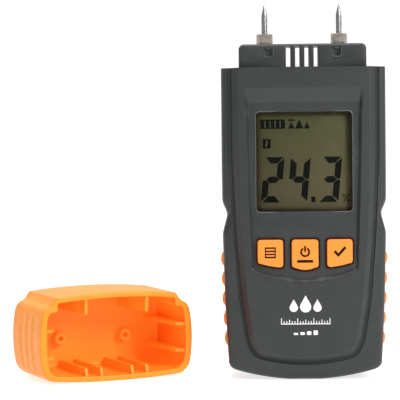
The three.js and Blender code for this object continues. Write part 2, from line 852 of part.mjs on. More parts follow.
const meter = new THREE.Group();
meter.add(
  piece("front_cover", frontCover(), "housing"),
  piece("rear_cover", rearCover(), "housing"),
  piece("battery_door", batteryDoor(), "housing"),
  piece("display_lens", lens(), "lens"),
  piece("display_glass", displayGlass(), "display"),
  piece("display_holder", displayHolder(), "frame"),
  piece("contact_rubber_upper", contactRubber(glassHigh - 2.6), "contact"),
  piece("contact_rubber_lower", contactRubber(glassLow + 2.6), "contact"),
  piece("main_board", mainBoard(), "board"),
  piece("controller_chip", controllerChip(), "chip"),
  piece("amplifier_chip", amplifierChip(), "chip"),
  piece("crystal", crystal(), "steel"),
  piece("buzzer", buzzer(), "chip"),
  piece("keypad_mat", keypadMat(), "mat"),
  piece("button_menu", button(-1), "orange"),
  piece("button_power", button(0), "orange"),
  piece("button_set", button(1), "orange"),
  piece("probe_block", probeBlock(), "housing"),
  piece("battery_9v", battery(), "battery"),
  piece("battery_snap", batterySnap(), "chip"),
  piece("battery_foam", batteryFoam(), "foam"),
  piece("lead_red", lead(-1), "redLead"),
  piece("lead_black", lead(1), "blackLead"),
);

["left", "right"].forEach((word, index) => {
  const side = index ? 1 : -1;
  meter.add(
    piece(`side_grip_${word}`, sideGrip(side), "rubber"),
    piece(`collet_${word}`, collet(side), "brass"),
    piece(`contact_strip_${word}`, contactStrip(side), "brass"),
    piece(`collet_nut_${word}`, nut(side), "nickel"),
    piece(`probe_pin_${word}`, probePin(side), "steel"),
  );
});

screwPlaces.forEach((place, index) => {
  meter.add(piece(`case_screw_${index + 1}`, caseScrew(place), "screw"));
});

boardScrewPlaces.forEach((place, index) => {
  meter.add(piece(`board_screw_${index + 1}`, boardScrew(place), "screw"));
});

// the cap lies on its broad rear face, its mouth turned towards the front right
const capPlace = new THREE.Group();
capPlace.position.set(capMouth.x, capMouth.y, caseRear);
capPlace.rotation.z = capYaw;
const cap = piece("protective_cap", capShell(), "orange");
cap.rotation.x = -Math.PI / 2;
capPlace.add(cap);

const group = new THREE.Group();
group.add(meter, capPlace);

export default group;
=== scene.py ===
"""A pin-type moisture meter for timber and flooring, with its protective cap lying beside it.

Mesh code works in millimetres and is turned into metres when an object is made. The meter stands
with +Z up and its front towards -Y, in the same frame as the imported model.
"""

import json
import math

import bmesh
import bpy
import numpy as np
from bpy.props import FloatProperty, FloatVectorProperty, IntProperty, PointerProperty
from mathutils import Matrix, Vector


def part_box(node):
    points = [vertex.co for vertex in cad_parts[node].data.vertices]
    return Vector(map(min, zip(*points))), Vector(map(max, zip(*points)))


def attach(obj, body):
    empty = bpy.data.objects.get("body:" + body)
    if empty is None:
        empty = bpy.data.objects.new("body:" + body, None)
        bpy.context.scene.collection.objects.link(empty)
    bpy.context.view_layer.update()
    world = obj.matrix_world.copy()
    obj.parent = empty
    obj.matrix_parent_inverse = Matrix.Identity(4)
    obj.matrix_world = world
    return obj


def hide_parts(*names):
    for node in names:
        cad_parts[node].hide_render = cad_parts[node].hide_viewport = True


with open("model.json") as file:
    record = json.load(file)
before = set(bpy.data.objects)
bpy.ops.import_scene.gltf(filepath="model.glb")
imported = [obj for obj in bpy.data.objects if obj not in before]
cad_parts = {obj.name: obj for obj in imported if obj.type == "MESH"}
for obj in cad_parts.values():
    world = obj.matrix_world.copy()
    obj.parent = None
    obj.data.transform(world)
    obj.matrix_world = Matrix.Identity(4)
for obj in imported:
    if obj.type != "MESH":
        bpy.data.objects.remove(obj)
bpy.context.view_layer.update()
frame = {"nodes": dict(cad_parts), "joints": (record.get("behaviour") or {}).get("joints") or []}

bl_info = {
    "name": "Moisture Meter",
    "version": (1, 0, 0),
    "blender": (4, 5, 0),
    "location": "View3D > Sidebar > Meter",
    "description": "Builds a pin-type moisture meter and its cap round the packed frame",
    "category": "Add Mesh",
}

MM = 0.001


def node_box(*nodes):
    """The lowest and highest corners of one or more CAD nodes, in millimetres."""
    boxes = [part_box(node) for node in nodes]
    low = np.min([box[0] for box in boxes], axis=0) / MM
    high = np.max([box[1] for box in boxes], axis=0) / MM
    return low, high


def joint(name):
    """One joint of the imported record."""
    return next(each for each in frame["joints"] if each["name"] == name)


# ---------------------------------------------------------------- places from the frame

FRONT_LOW, FRONT_HIGH = node_box("front_cover")
REAR_LOW, REAR_HIGH = node_box("rear_cover")
LENS_LOW, LENS_HIGH = node_box("display_lens")
GLASS_LOW, GLASS_HIGH = node_box("display_glass")
HEAD_LOW, HEAD_HIGH = node_box("probe_block")
NUT_LOW, NUT_HIGH = node_box("collet_nut_right")
PIN_LOW, PIN_HIGH = node_box("probe_pin_right")
DOOR_LOW, DOOR_HIGH = node_box("battery_door")
GRIP_LOW, GRIP_HIGH = node_box("side_grip_right")
CAP_LOW, CAP_HIGH = node_box("protective_cap")

CASE_TOP = FRONT_HIGH[2]
CASE_FRONT = FRONT_LOW[1]
CASE_REAR = REAR_HIGH[1]
CASE_HALF = REAR_HIGH[0]
PIN_X = (PIN_LOW[0] + PIN_HIGH[0]) / 2
PIN_Y = (PIN_LOW[1] + PIN_HIGH[1]) / 2
HINGE_Y, HINGE_Z = (np.array(joint("battery_door_hinge")["pos_m"]) / MM)[1:]
CAP_LENGTH = 31.2
CAP_THICKNESS = CAP_HIGH[2] - CAP_LOW[2]  # at its mouth
CAP_FRONT = CASE_REAR - CAP_THICKNESS
KEYS = {-1: "button_menu", 0: "button_power", 1: "button_set"}
SIDES = ((-1, "left"), (1, "right"))

# ---------------------------------------------------------------- sizes of the shape, millimetres

CASE_SIDE = [
    (28.25, 6.7), (28.7, 14.5), (29.4, 29.1), (29.93, 51.0), (29.97, 54.1),
    (28.15, 61.0), (30.05, 65.6), (30.12, 77.0), (30.08, 130.0),
]
PANEL_SIDE = [
    (17.45, 13.0), (18.55, 15.4), (20.85, 29.7), (22.6, 51.4), (23.1, 61.3),
    (23.7, 75.1), (24.05, 85.0), (24.05, 130.0),
]
STAND_HALF = 6.0
BOTTOM_RADIUS = 89.2
FRONT_CROWN = (24.0, 1.1)  # at this half width the face has fallen away by this much
REAR_CROWN = (27.0, 1.3)
SIDE_CROWN = (12.0, 0.4)
SMILE_CROWN, SMILE_Z = (19.2, 4.4), 36.6  # the crease under the keys
CAP_CROWN = (24.0, 1.36)
CAP_STEP_HALF = 23.6  # where the cap's front face ends
CAP_RISE = 0.6  # how much taller the cap's closed end is than its mouth
SIDE_MIDDLE = -3.0
ROUND_Y = -8.8  # where the side starts to round over to the step
STEP_Y = -12.1
STEP_INSET = 2.6
RIM_SLOPE = 0.65  # how far the rim falls back from the panel's foot to its outer edge
FLARE = 2.4
WALL = 2.2
HEAD_FRONT, HEAD_REAR = -6.0, 10.0
POCKET_X = 12.5
REACH = 40  # how far a cutting tool goes, well past any piece
ROWS, COLUMNS = 250, 105  # the fine mesh's points down a side and along the bottom
CAMERA_PLACE = (-0.0207, -0.6, 0.0846)  # metres
CAMERA_TURN = (-1.691, -1.778, 0.622)  # yaw, pitch and roll in degrees
CAMERA_LENS = 145.02
FLOOR_REACH = 12000


def length_setting(name, description, default, least=0.0):
    """A length that can be set, with its default and least value in millimetres."""
    return FloatProperty(
        name=name, description=description, default=default * MM, min=least * MM,
        subtype="DISTANCE", unit="LENGTH",
    )


def colour_setting(name, description, default):
    """A linear colour that can be set."""
    return FloatVectorProperty(
        name=name, description=description, subtype="COLOR", size=3, min=0, max=1,
        default=default,
    )


class CaseSizes(bpy.types.PropertyGroup):
    """Sizes of the case's details."""

    recess: length_setting("Recess depth", "How deep the display's recess is", 1.5)
    key_recess: length_setting(
        "Key recess depth", "How deep the recess round the keys is", 1.2
    )
    key_gap: length_setting("Key gap", "The dark gap round each key", 0.68)
    window_radius: length_setting(
        "Window corner", "The corner radius of the display window", 1.5
    )
    bump_proud: length_setting(
        "Grip bump height", "How far the side grip's bumps stand out",
        GRIP_HIGH[0] - CASE_HALF - 0.05,
    )


class CapSizes(bpy.types.PropertyGroup):
    """Sizes of the protective cap's details."""

    wall: length_setting("Wall", "The cap's wall thickness", 2, 0.5)
    flute_depth: length_setting(
        "Flute depth", "The depth of the finger flutes on the flanks", 0.3
    )
    flutes: IntProperty(
        name="Flutes", description="How many finger flutes each flank has", default=3, min=0,
    )


class FinishColours(bpy.types.PropertyGroup):
    """The main colours."""

    housing: colour_setting("Housing", "The dark grey of the case", (0.0285, 0.0315, 0.0315))
    cap: colour_setting("Cap", "The orange of the cap", (0.97, 0.3, 0.022))
    keys: colour_setting("Keys", "The orange of the keys", (0.9, 0.28, 0.035))
    grips: colour_setting("Grips", "The orange of the side grips", (0.86, 0.24, 0.02))
    display: colour_setting(
        "Display", "The display's olive background", (0.105, 0.103, 0.048)
    )


class MeterSettings(bpy.types.PropertyGroup):
    """Everything that the sidebar panel offers."""

    case: PointerProperty(type=CaseSizes, name="Case", description="Sizes of the case")
    cap: PointerProperty(type=CapSizes, name="Cap", description="Sizes of the cap")
    colours: PointerProperty(type=FinishColours, name="Colours", description="Main colours")


def settings():
    """The scene's settings for the meter."""
    return bpy.context.scene.moisture_meter


def chosen(name):
    """One of the main colours."""
    return tuple(getattr(settings().colours, name))


# ---------------------------------------------------------------- curves

def fall(crown, distance):
    """How far a crowned face has fallen away at a distance from its middle."""
    half, sag = crown
    return sag * (np.asarray(distance) / half) ** 2


def smooth(value):
    """A smooth step from 0 to 1."""
    t = np.clip(value, 0, 1)
    return t * t * (3 - 2 * t)


def soft_side(pairs, heights, softness=0.9):
    """Half widths at heights, with the corners between the pairs softened."""
    widths, levels = zip(*pairs)
    spread = np.linspace(-softness, softness, 9)
    return np.mean([np.interp(heights + d, levels, widths) for d in spread], axis=0)


def bezier(points, count):
    """Points along a Bezier curve with any number of control points."""
    t = np.linspace(0, 1, count)[:, None]
    degree = len(points) - 1
    return sum(
        math.comb(degree, k) * (1 - t) ** (degree - k) * t**k * np.array(p, float)
        for k, p in enumerate(points)
    )


def resample(line, count):
    """The same line with evenly spaced points."""
    steps = np.linalg.norm(np.diff(line, axis=0), axis=1)
    along = np.concatenate([[0], np.cumsum(steps)])
    wanted = np.linspace(0, along[-1], count)
    return np.stack([np.interp(wanted, along, line[:, k]) for k in range(line.shape[1])], 1)


def case_half(top):
    """The right half of the case outline from bottom centre to top, and where its corner is."""
    x = np.linspace(0, 24.8, 60)
    bottom = np.stack([x, np.maximum(0, x**2 - STAND_HALF**2) / (2 * BOTTOM_RADIUS)], 1)
    corner = bezier([(25.0, 3.3), (28.1, 4.06), (28.3, 6.7)], 15)
    z = np.linspace(7.2, top, 240)
    side = np.stack([soft_side(CASE_SIDE, z), z], 1)
    return np.vstack([bottom, corner, side]), len(bottom) + 7


def panel_half(top):
    """The right half of the raised panel's outline, and where its corner is."""
    bottom = bezier([(0, 9.0), (8.0, 9.0), (15.2, 10.9)], 40)
    corner = bezier([(15.6, 11.05), (17.0, 11.5), (17.45, 13.0)], 11)
    z = np.linspace(13.6, top, 240)
    side = np.stack([soft_side(PANEL_SIDE, z), z], 1)
    return np.vstack([bottom, corner, side]), len(bottom) + 5


def outline_loop(half, rows, columns):
    """An open loop down the left side, along the bottom and up the right side. Loops with the
    same rows and columns match point for point."""
    line, corner = half
    low = resample(line[: corner + 1], columns // 2 + 1)
    side = resample(line[corner:], rows)
    right = np.vstack([low, side[1:]])
    return np.vstack([right[:0:-1] * (-1, 1), right])


def outward(loop):
    """Unit normals of an open loop, level at its two ends."""
    along = np.gradient(loop, axis=0)
    normal = np.stack([along[:, 1], -along[:, 0]], 1)
    normal[0], normal[-1] = (-1, 0), (1, 0)
    return normal / np.linalg.norm(normal, axis=1)[:, None]


def pushed(loop, amount):
    """The loop moved out along its normals by one amount or one for each point."""
    return loop + outward(loop) * np.reshape(amount, (-1, 1))


def lifted(loop, y):
    """A loop in X and Z as points in space at depth y."""
    depth = np.broadcast_to(y, len(loop))
    return np.stack([loop[:, 0], depth, loop[:, 1]], 1)


def rounded_box_outline(x0, x1, z0, z1, radius, steps=6):
    """A closed rectangle with round corners, anticlockwise from its lower right corner."""
    points = []
    centres = [(x1 - radius, z0 + radius), (x1 - radius, z1 - radius),
               (x0 + radius, z1 - radius), (x0 + radius, z0 + radius)]
    for quarter, (x, z) in enumerate(centres):
        for angle in np.linspace(-90, 0, steps + 1) + 90 * quarter:
            turn = math.radians(angle)
            points.append((x + radius * math.cos(turn), z + radius * math.sin(turn)))
    return np.array(points)


def circle(radius, sides, x=0.0, z=0.0):
    """A closed circle, anticlockwise."""
    turn = np.linspace(0, 2 * math.pi, sides, endpoint=False)
    return np.stack([x + radius * np.cos(turn), z + radius * np.sin(turn)], 1)


def arc(x, z, radius, start, end, steps):
    """Points along an arc between two angles in degrees."""
    turn = np.radians(np.linspace(start, end, steps))
    return np.stack([x + radius * np.cos(turn), z + radius * np.sin(turn)], 1)


def box_shape(x0, z0, x1, z1):
    """A closed rectangle, anticlockwise from its lower left corner."""
    return np.array([(x0, z0), (x1, z0), (x1, z1), (x0, z1)], float)


def closed_normals(outline):
    """Unit normals of a closed anticlockwise outline."""
    along = np.roll(outline, -1, 0) - np.roll(outline, 1, 0)
    normal = np.stack([along[:, 1], -along[:, 0]], 1)
    return normal / np.linalg.norm(normal, axis=1)[:, None]


def at_level(flat, level):
    """Flat points as points in space at one level."""
    return np.hstack([flat, np.full((len(flat), 1), level)])


def drawn_rings(outline, steps):
    """Rings of an outline from (inset, level) pairs."""
    normals = closed_normals(outline)
    return [at_level(outline - normals * inset, level) for inset, level in steps]


def quarter_round(radius, count, inwards=True):
    """How far a round edge has come in from the side and how far it is short of the end, point
    by point from the side to the end face, or the other way."""
    ends = (0, math.pi / 2) if inwards else (math.pi / 2, 0)
    return [
        (radius * (1 - math.cos(turn)), radius * (1 - math.sin(turn)))
        for turn in np.linspace(*ends, count)
    ]


def flat_surface(y):
    """A surface function for a flat face at depth y."""
    return lambda x, z: y + 0 * x


# ---------------------------------------------------------------- meshes

def make_object(name, vertices, faces, sharp=32):
    """An object from millimetre points, smooth but for edges sharper than an angle."""
    mesh = bpy.data.meshes.new(name)
    mesh.from_pydata((np.asarray(vertices, float) * MM).tolist(), [], faces)
    made = bpy.data.objects.new(name, mesh)
    bpy.context.scene.collection.objects.link(made)
    tidy_mesh(made, sharp)
    return made


def tidy_mesh(made, sharp=32):
    """Turns all faces outwards and shades them smooth but for sharp edges."""
    work = bmesh.new()
    work.from_mesh(made.data)
    bmesh.ops.remove_doubles(work, verts=work.verts, dist=1e-7)
    bmesh.ops.recalc_face_normals(work, faces=work.faces)
    work.to_mesh(made.data)
    work.free()
    made.data.shade_smooth()
    made.data.set_sharp_from_angle(angle=math.radians(sharp))
    made.data.update()


def apply_modifiers(made):
    """Replaces the object's mesh by what its modifiers make of it."""
    graph = bpy.context.evaluated_depsgraph_get()
    mesh = bpy.data.meshes.new_from_object(made.evaluated_get(graph))
    made.modifiers.clear()
    old = made.data
    made.data = mesh
    bpy.data.meshes.remove(old)


def boolean(target, tools, operation="DIFFERENCE", sharp=32):
    """Cuts or joins tools, which are used up, with the target."""
    for tool in tools:
        step = target.modifiers.new(operation, "BOOLEAN")
        step.operation = operation
        step.solver = "MANIFOLD"
        step.object = tool
    apply_modifiers(target)
    for tool in tools:
        bpy.data.objects.remove(tool)
    tidy_mesh(target, sharp)
    return target


def soften(made, width, segments=2, angle=40, sharp=50):
    """Rounds the object's sharp edges over by a width in millimetres."""
    step = made.modifiers.new("soften", "BEVEL")
    step.width = width * MM
    step.segments = segments
    step.limit_method = "ANGLE"
    step.angle_limit = math.radians(angle)
    step.use_clamp_overlap = True
    apply_modifiers(made)
    tidy_mesh(made, sharp)
    return made


def ring_faces(rings, count, closed, start=0):
    """Quads between successive rings of count points."""
    last = count if closed else count - 1
    return [
        (start + r * count + k, start + r * count + (k + 1) % count,
         start + (r + 1) * count + (k + 1) % count, start + (r + 1) * count + k)
        for r in range(rings - 1)
        for k in range(last)
    ]


def loft(name, rings, sharp=32):
    """A closed solid through closed rings of points, with an end face on the first and last.
    An end ring of one repeated point becomes a tip."""
    rings = [np.asarray(ring, float) for ring in rings]
    count = len(rings[0])
    faces = ring_faces(len(rings), count, True)
    faces.append(tuple(range(count)))
    faces.append(tuple(range((len(rings) - 1) * count, len(rings) * count)))
    return make_object(name, np.vstack(rings), faces, sharp)


def slab(name, outer, inner, sharp=32):
    """A closed solid between two grids of points with the same rows and columns."""
    rows, columns = outer.shape[:2]
    count = rows * columns
    border = list(range(columns)) + [r * columns + columns - 1 for r in range(1, rows)]
    border += [(rows - 1) * columns + c for c in range(columns - 2, -1, -1)]
    border += [r * columns for r in range(rows - 2, 0, -1)]
    faces = ring_faces(rows, columns, False) + ring_faces(rows, columns, False, count)
    faces += [(a, b, b + count, a + count) for a, b in zip(border, border[1:] + border[:1])]
    points = np.vstack([outer.reshape(-1, 3), inner.reshape(-1, 3)])
    return make_object(name, points, faces, sharp)


def prism(outline, y0, y1, name="tool"):
    """A closed outline in X and Z filled from y0 to y1."""
    return loft(name, [lifted(outline, y0), lifted(outline, y1)])


def brick(low, high, name="tool"):
    """A rectangular solid, used to cut or join."""
    (x0, y0, z0), (x1, y1, z1) = low, high
    return prism(box_shape(x0, z0, x1, z1), y0, y1, name)


def turned(profile, centre, sides=48, axis="Z", name="tool"):
    """A solid turned from (radius, height) pairs about an axis through centre."""
    order = {"Z": (0, 1, 2), "Y": (0, 2, 1), "X": (2, 0, 1)}[axis]
    rings = [at_level(circle(radius, sides), height)[:, order] for radius, height in profile]
    return loft(name, [ring + np.asarray(centre, float) for ring in rings])


def pillow(name, outline, y_back, y_front, edge, dome):
    """A slab with a rounded front edge and a slightly domed front face towards -Y."""
    normals = closed_normals(outline)
    middle = outline.mean(axis=0)
    rings = [lifted(outline, y_back), lifted(outline, y_front + dome + edge)]
    for inset, drop in quarter_round(edge, 6)[1:]:
        rings.append(lifted(outline - normals * inset, y_front + dome + drop))
    face = outline - normals * edge
    for scale in np.linspace(1, 0, 9)[1:]:
        ring = middle + (face - middle) * scale
        rings.append(lifted(ring, y_front + dome * scale**2))
    return loft(name, rings, 40)


def swept(name, path, radius, sides=10, closed=True):
    """A round bead along a path of points in space."""
    path = np.asarray(path, float)
    if closed:
        along = np.roll(path, -1, 0) - np.roll(path, 1, 0)
    else:
        along = np.gradient(path, axis=0)
    along /= np.linalg.norm(along, axis=1)[:, None]
    side = np.cross(along, (0, 1, 0))
    side /= np.linalg.norm(side, axis=1)[:, None]
    up = np.cross(side, along)
    turn = np.linspace(0, 2 * math.pi, sides, endpoint=False)
    ring = [p + radius * (np.outer(np.cos(turn), s) + np.outer(np.sin(turn), u))
            for p, s, u in zip(path, side, up)]
    vertices = np.vstack(ring)
    count = len(path)
    faces = ring_faces(count, sides, True)
    if closed:
        last = (count - 1) * sides
        faces += [(last + k, last + (k + 1) % sides, (k + 1) % sides, k) for k in range(sides)]
    else:
        faces += [tuple(range(sides)), tuple(range((count - 1) * sides, count * sides))]
    return make_object(name, vertices, faces, 60)


def plates(name, outlines, surface, thickness=0.05):
    """Thin raised shapes, one for each closed outline in X and Z, lying on surface(x, z)."""
    vertices, faces = [], []
    for outline in outlines:
        outline = np.asarray(outline, float)
        start, count = len(vertices), len(outline)
        y = surface(outline[:, 0], outline[:, 1])
        vertices += list(lifted(outline, y + 0.02)) + list(lifted(outline, y - thickness))
        faces.append(tuple(range(start, start + count)))
        faces.append(tuple(range(start + count, start + 2 * count)))
        faces += ring_faces(2, count, True, start)
    return make_object(name, vertices, faces, 30)


def band(inner, outer):
    """A closed outline between two open lines."""
    return np.vstack([np.asarray(outer), np.asarray(inner)[::-1]])


def place(made, body, slot, material, *nodes):
    """Gives a finished piece its body and material and hides the CAD nodes it stands for. The slot
    argument is not used.
    """
    made.data.materials.clear()
    made.data.materials.append(material)
    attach(made, body)
    if nodes:
        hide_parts(*nodes)
    return made


# ---------------------------------------------------------------- shader maths

class Field:
    """A shader socket whose value varies over a surface. Arithmetic on it adds Math nodes."""

    def __init__(self, kit, socket):
        self.kit = kit
        self.socket = socket

    def _math(self, operation, first, second=0.0):
        return self.kit.node("ShaderNodeMath", {"operation": operation}, {0: first, 1: second})

    def __add__(self, other):
        return self._math("ADD", self, other)

    __radd__ = __add__

    def __sub__(self, other):
        return self._math("SUBTRACT", self, other)

    def __rsub__(self, other):
        return self._math("SUBTRACT", other, self)

    def __mul__(self, other):
        return self._math("MULTIPLY", self, other)

    __rmul__ = __mul__

    def __abs__(self):
        return self._math("ABSOLUTE", self)


class Finish:
    """Builds one material."""

    def __init__(self, name):
        self.material = bpy.data.materials.new(name)
        self.material.use_nodes = True
        self.tree = self.material.node_tree
        self.shader = self.tree.nodes["Principled BSDF"]

    def node(self, kind, options=None, inputs=None, output=0):
        """Adds a node, sets its options, then the values or links of its sockets."""
        made = self.tree.nodes.new(kind)
        for name, value in (options or {}).items():
            setattr(made, name, value)
        for name, value in (inputs or {}).items():
            self.feed(made.inputs[name], value)
        return Field(self, made.outputs[output])

    def feed(self, socket, value):
        """Links a field to a socket, or sets the socket's own value."""
        if isinstance(value, Field):
            self.tree.links.new(value.socket, socket)
        elif isinstance(value, (tuple, list)) and len(value) == 3 and socket.type == "RGBA":
            socket.default_value = (*value, 1)
        else:
            socket.default_value = value

    def place(self):
        """The piece's own coordinates, in metres."""
        return self.node("ShaderNodeTexCoord", output="Object")

    def axis(self, letter):
        """One of the piece's own coordinates, in metres."""
        return self.node("ShaderNodeSeparateXYZ", {}, {0: self.place()}, output=letter)

    def noise(self, size, detail=2.0, roughness=0.5, stretch=(1, 1, 1)):
        """Smooth noise from 0 to 1 whose features are about size millimetres across."""
        scale = tuple(each / (size * MM) for each in stretch)
        where = self.node(
            "ShaderNodeVectorMath", {"operation": "MULTIPLY"}, {0: self.place(), 1: scale}
        )
        return self.node(
            "ShaderNodeTexNoise", {},
            {"Vector": where, "Scale": 1.0, "Detail": detail, "Roughness": roughness},
        )

    def cells(self, size, feature="F1"):
        """The distance field of Voronoi cells about size millimetres across."""
        return self.node(
            "ShaderNodeTexVoronoi", {"feature": feature},
            {"Vector": self.place(), "Scale": 1 / (size * MM)}, "Distance",
        )

    def step(self, value, low, high):
        """A smooth step of value between low and high."""
        return self.node(
            "ShaderNodeMapRange", {"interpolation_type": "SMOOTHSTEP"},
            {"Value": value, "From Min": low, "From Max": high, "To Min": 0.0, "To Max": 1.0},
        )

    def blend(self, factor, first, second):
        """A colour between two colours."""
        return self.node(
            "ShaderNodeMix", {"data_type": "RGBA"}, {0: factor, 6: first, 7: second}, output=2
        )

    def vary(self, factor, colour, dark, light):
        """A colour that varies between a darker and a lighter tone."""
        return self.blend(factor, shade(colour, dark), shade(colour, light))

    def bump(self, height, depth, strength=1.0, under=None):
        """A normal from a height field of depth millimetres."""
        inputs = {"Height": height, "Distance": depth * MM, "Strength": strength}
        if under:
            inputs["Normal"] = under
        return self.node("ShaderNodeBump", {}, inputs)

    def surface(self, **sockets):
        """Feeds the shader's sockets, named with underscores for spaces."""
        for name, value in sockets.items():
            self.feed(self.shader.inputs[name.replace("_", " ")], value)
        return self.material


def shade(colour, factor):
    """A colour made lighter or darker."""
    return tuple(min(1, channel * factor) for channel in colour)


def moulded_plastic(
    name, colour, grain, roughness, spread, depth, coat=0.0, gloss=0.4, painted_glow=None
):
    """A moulded plastic: fine grain, faint flow mottling, small scuffs. An optional mask adds
    a painted glow: the colour given off as emission where the part should look lit from within."""
    finish = Finish(name)
    mottle = finish.noise(9, 3, 0.6)
    speck = finish.noise(grain * 2.2, 2, 0.6)
    tone = finish.step(mottle * 0.6 + speck * 0.4, 0.3, 0.7)
    base = finish.vary(tone, colour, 1 - spread, 1 + spread)
    scuff = finish.step(finish.noise(5, 6, 0.75, (1, 1, 0.35)), 0.62, 0.78)
    base = finish.blend(scuff * 0.12, base, (0.5, 0.5, 0.5))
    fine = finish.bump(finish.noise(grain, 3, 0.65), depth)
    wave = finish.bump(finish.noise(3.2, 1, 0.4), depth * 2.2, 0.35, fine)
    lit = {}
    if painted_glow:
        light = finish.blend(painted_glow(finish), (0, 0, 0), colour)
        # painted glow: emission in the part's own colour wherever the mask says, though the part
        # is no lamp
        lit = {"Emission_Color": light, "Emission_Strength": 0.17}
    return finish.surface(
        Base_Color=base,
        Roughness=roughness + (speck - 0.5) * 0.12 + scuff * 0.1,
        Normal=wave,
        Specular_IOR_Level=gloss,
        Coat_Weight=coat,
        Coat_Roughness=0.25,
        **lit,
    )


def turned_metal(name, colour, roughness, ring_size, depth, stain=0.0):
    """Turned or ground metal with fine rings round Z and a little tarnish."""
    finish = Finish(name)
    rings = finish.noise(ring_size, 2, 0.6, (0.04, 0.04, 1))
    patch = finish.noise(1.6, 4, 0.6)
    tone = finish.step(patch * 0.7 + rings * 0.3, 0.35, 0.68)
    base = finish.vary(tone, colour, 0.72, 1.12)
    spots = finish.step(finish.noise(0.5, 5, 0.7), 0.6, 0.72)
    base = finish.blend(spots * stain, base, shade(colour, 0.35))
    return finish.surface(
        Base_Color=base,
        Metallic=1.0,
        Roughness=roughness + (rings - 0.5) * 0.16 + (1 - tone) * 0.08,
        Normal=finish.bump(rings, depth, 0.7),
    )


def housing_finish(lighter=1.0):
    """Dark grey spark-eroded moulding. A factor above 1 makes a lighter copy of it: painted light
    for a part that should look more brightly lit.
    """
    colour = shade(chosen("housing"), lighter)
    return moulded_plastic("housing_grain", colour, 0.32, 0.42, 0.12, 0.016, gloss=0.42)


def cap_finish():
    """Satin orange moulding with a little subsurface scattering and a painted orange glow given
    off over its inside to brighten it.
    """
    away, across, mouth = cap_axes()
    mouth = mouth * MM

    # the cap's inside walls and floor, where a painted glow is given off to brighten the inside
    def inside(finish):
        x, y, z = (finish.axis(letter) for letter in "XYZ")
        u = (x - mouth[0]) * across[0] + (y - mouth[1]) * across[1]
        d = (x - mouth[0]) * away[0] + (y - mouth[1]) * away[1]
        wall, side = settings().cap.wall, CASE_HALF * MM
        sides = 1 - finish.step(abs(u), side - 1.35 * wall, side - wall)
        ends = finish.step(d, 0.001, 0.006) * (1 - finish.step(d, 0.029, 0.0296))
        levels = finish.step(z, 0.5 * wall, 0.9 * wall) * (1 - finish.step(z, 0.0302, 0.0312))
        return sides * ends * levels

    material = moulded_plastic(
        "cap_orange", chosen("cap"), 0.6, 0.4, 0.04, 0.006, coat=0.02, gloss=0.22, painted_glow=inside,
    )
    shader = material.node_tree.nodes["Principled BSDF"]
    shader.inputs["Subsurface Weight"].default_value = 0.35
    shader.inputs["Subsurface Radius"].default_value = (0.005, 0.0012, 0.0002)
    return material


def key_finish():
    """Smooth orange key tops."""
    return moulded_plastic(
        "key_orange", chosen("keys"), 0.5, 0.4, 0.05, 0.005, coat=0.05, gloss=0.3
    )


def rubber_finish():
    """Soft orange rubber, slightly dusty."""
    finish = Finish("grip_rubber")
    colour = chosen("grips")
    dust = finish.step(finish.noise(1.1, 5, 0.7), 0.5, 0.75)
    tone = finish.step(finish.noise(6, 3), 0.3, 0.7)
    base = finish.vary(tone, colour, 0.9, 1.06)
    base = finish.blend(dust * 0.16, base, (0.8, 0.52, 0.36))
    return finish.surface(
        Base_Color=base,
        Roughness=0.62 + dust * 0.14,
        Normal=finish.bump(finish.noise(0.22, 3, 0.7), 0.012),
        Specular_IOR_Level=0.35,
    )


def ink_finish(name, colour, roughness=0.5):
    """Pad-printed ink with a slightly uneven film, also used for the dark sheets of painted shade
    in the gaps round the keys.
    """
    finish = Finish(name)
    film = finish.noise(0.35, 4, 0.65)
    base = finish.vary(finish.step(film, 0.3, 0.7), colour, 0.86, 1.06)
    return finish.surface(
        Base_Color=base, Roughness=roughness + (film - 0.5) * 0.2,
        Normal=finish.bump(film, 0.004), Specular_IOR_Level=0.15,
    )


# ---------------------------------------------------------------- case

def recess_half(z):
    """The half width of the sunken area of the front panel at a height."""
    return np.interp(z, [38, 60, 98, 110], [18.9, 19.6, 20.6, 21.2])


def smile(x):
    """The height of the curved crease under the keys."""
    return SMILE_Z + fall(SMILE_CROWN, x)


def front_relief(x, z):
    """How far the front panel is sunk at a point."""
    sizes = settings().case
    lower, upper = sizes.key_recess / MM, sizes.recess / MM
    keys_top, deepening, wall_run, crease_run = 54, 7, 0.95, 1.25
    slope_low, slope_high, slope_run = 101.6, 106.7, 5.1
    depth = lower + (upper - lower) * smooth((z - keys_top) / deepening)
    side = smooth((recess_half(z) - np.abs(x)) / wall_run + 0.5)
    top = np.where(z < slope_low, 1, np.clip((slope_high - z) / slope_run, 0, 1))
    crease = smooth((z - smile(x)) / crease_run + 0.35)
    return depth * side * top * crease


def panel_surface(x, z):
    """The front panel's depth at a point, crown and relief together."""
    return CASE_FRONT + fall(FRONT_CROWN, x) + front_relief(x, z)


def coons(loop, rows, columns):
    """A grid that fills an outline loop, row by row from its top."""
    left, right = loop[:rows], loop[::-1][:rows]
    bottom = loop[rows - 1 : rows - 1 + columns]
    top = np.linspace(left[0], right[0], columns)
    u = np.linspace(0, 1, columns)[None, :, None]
    v = np.linspace(0, 1, rows)[:, None, None]
    ends = [(1 - u) * left[k] + u * right[k] for k in (0, -1)]
    corners = (1 - v) * ends[0] + v * ends[1]
    sides = (1 - u) * left[:, None] + u * right[:, None]
    return (1 - v) * top[None] + v * bottom[None] + sides - corners


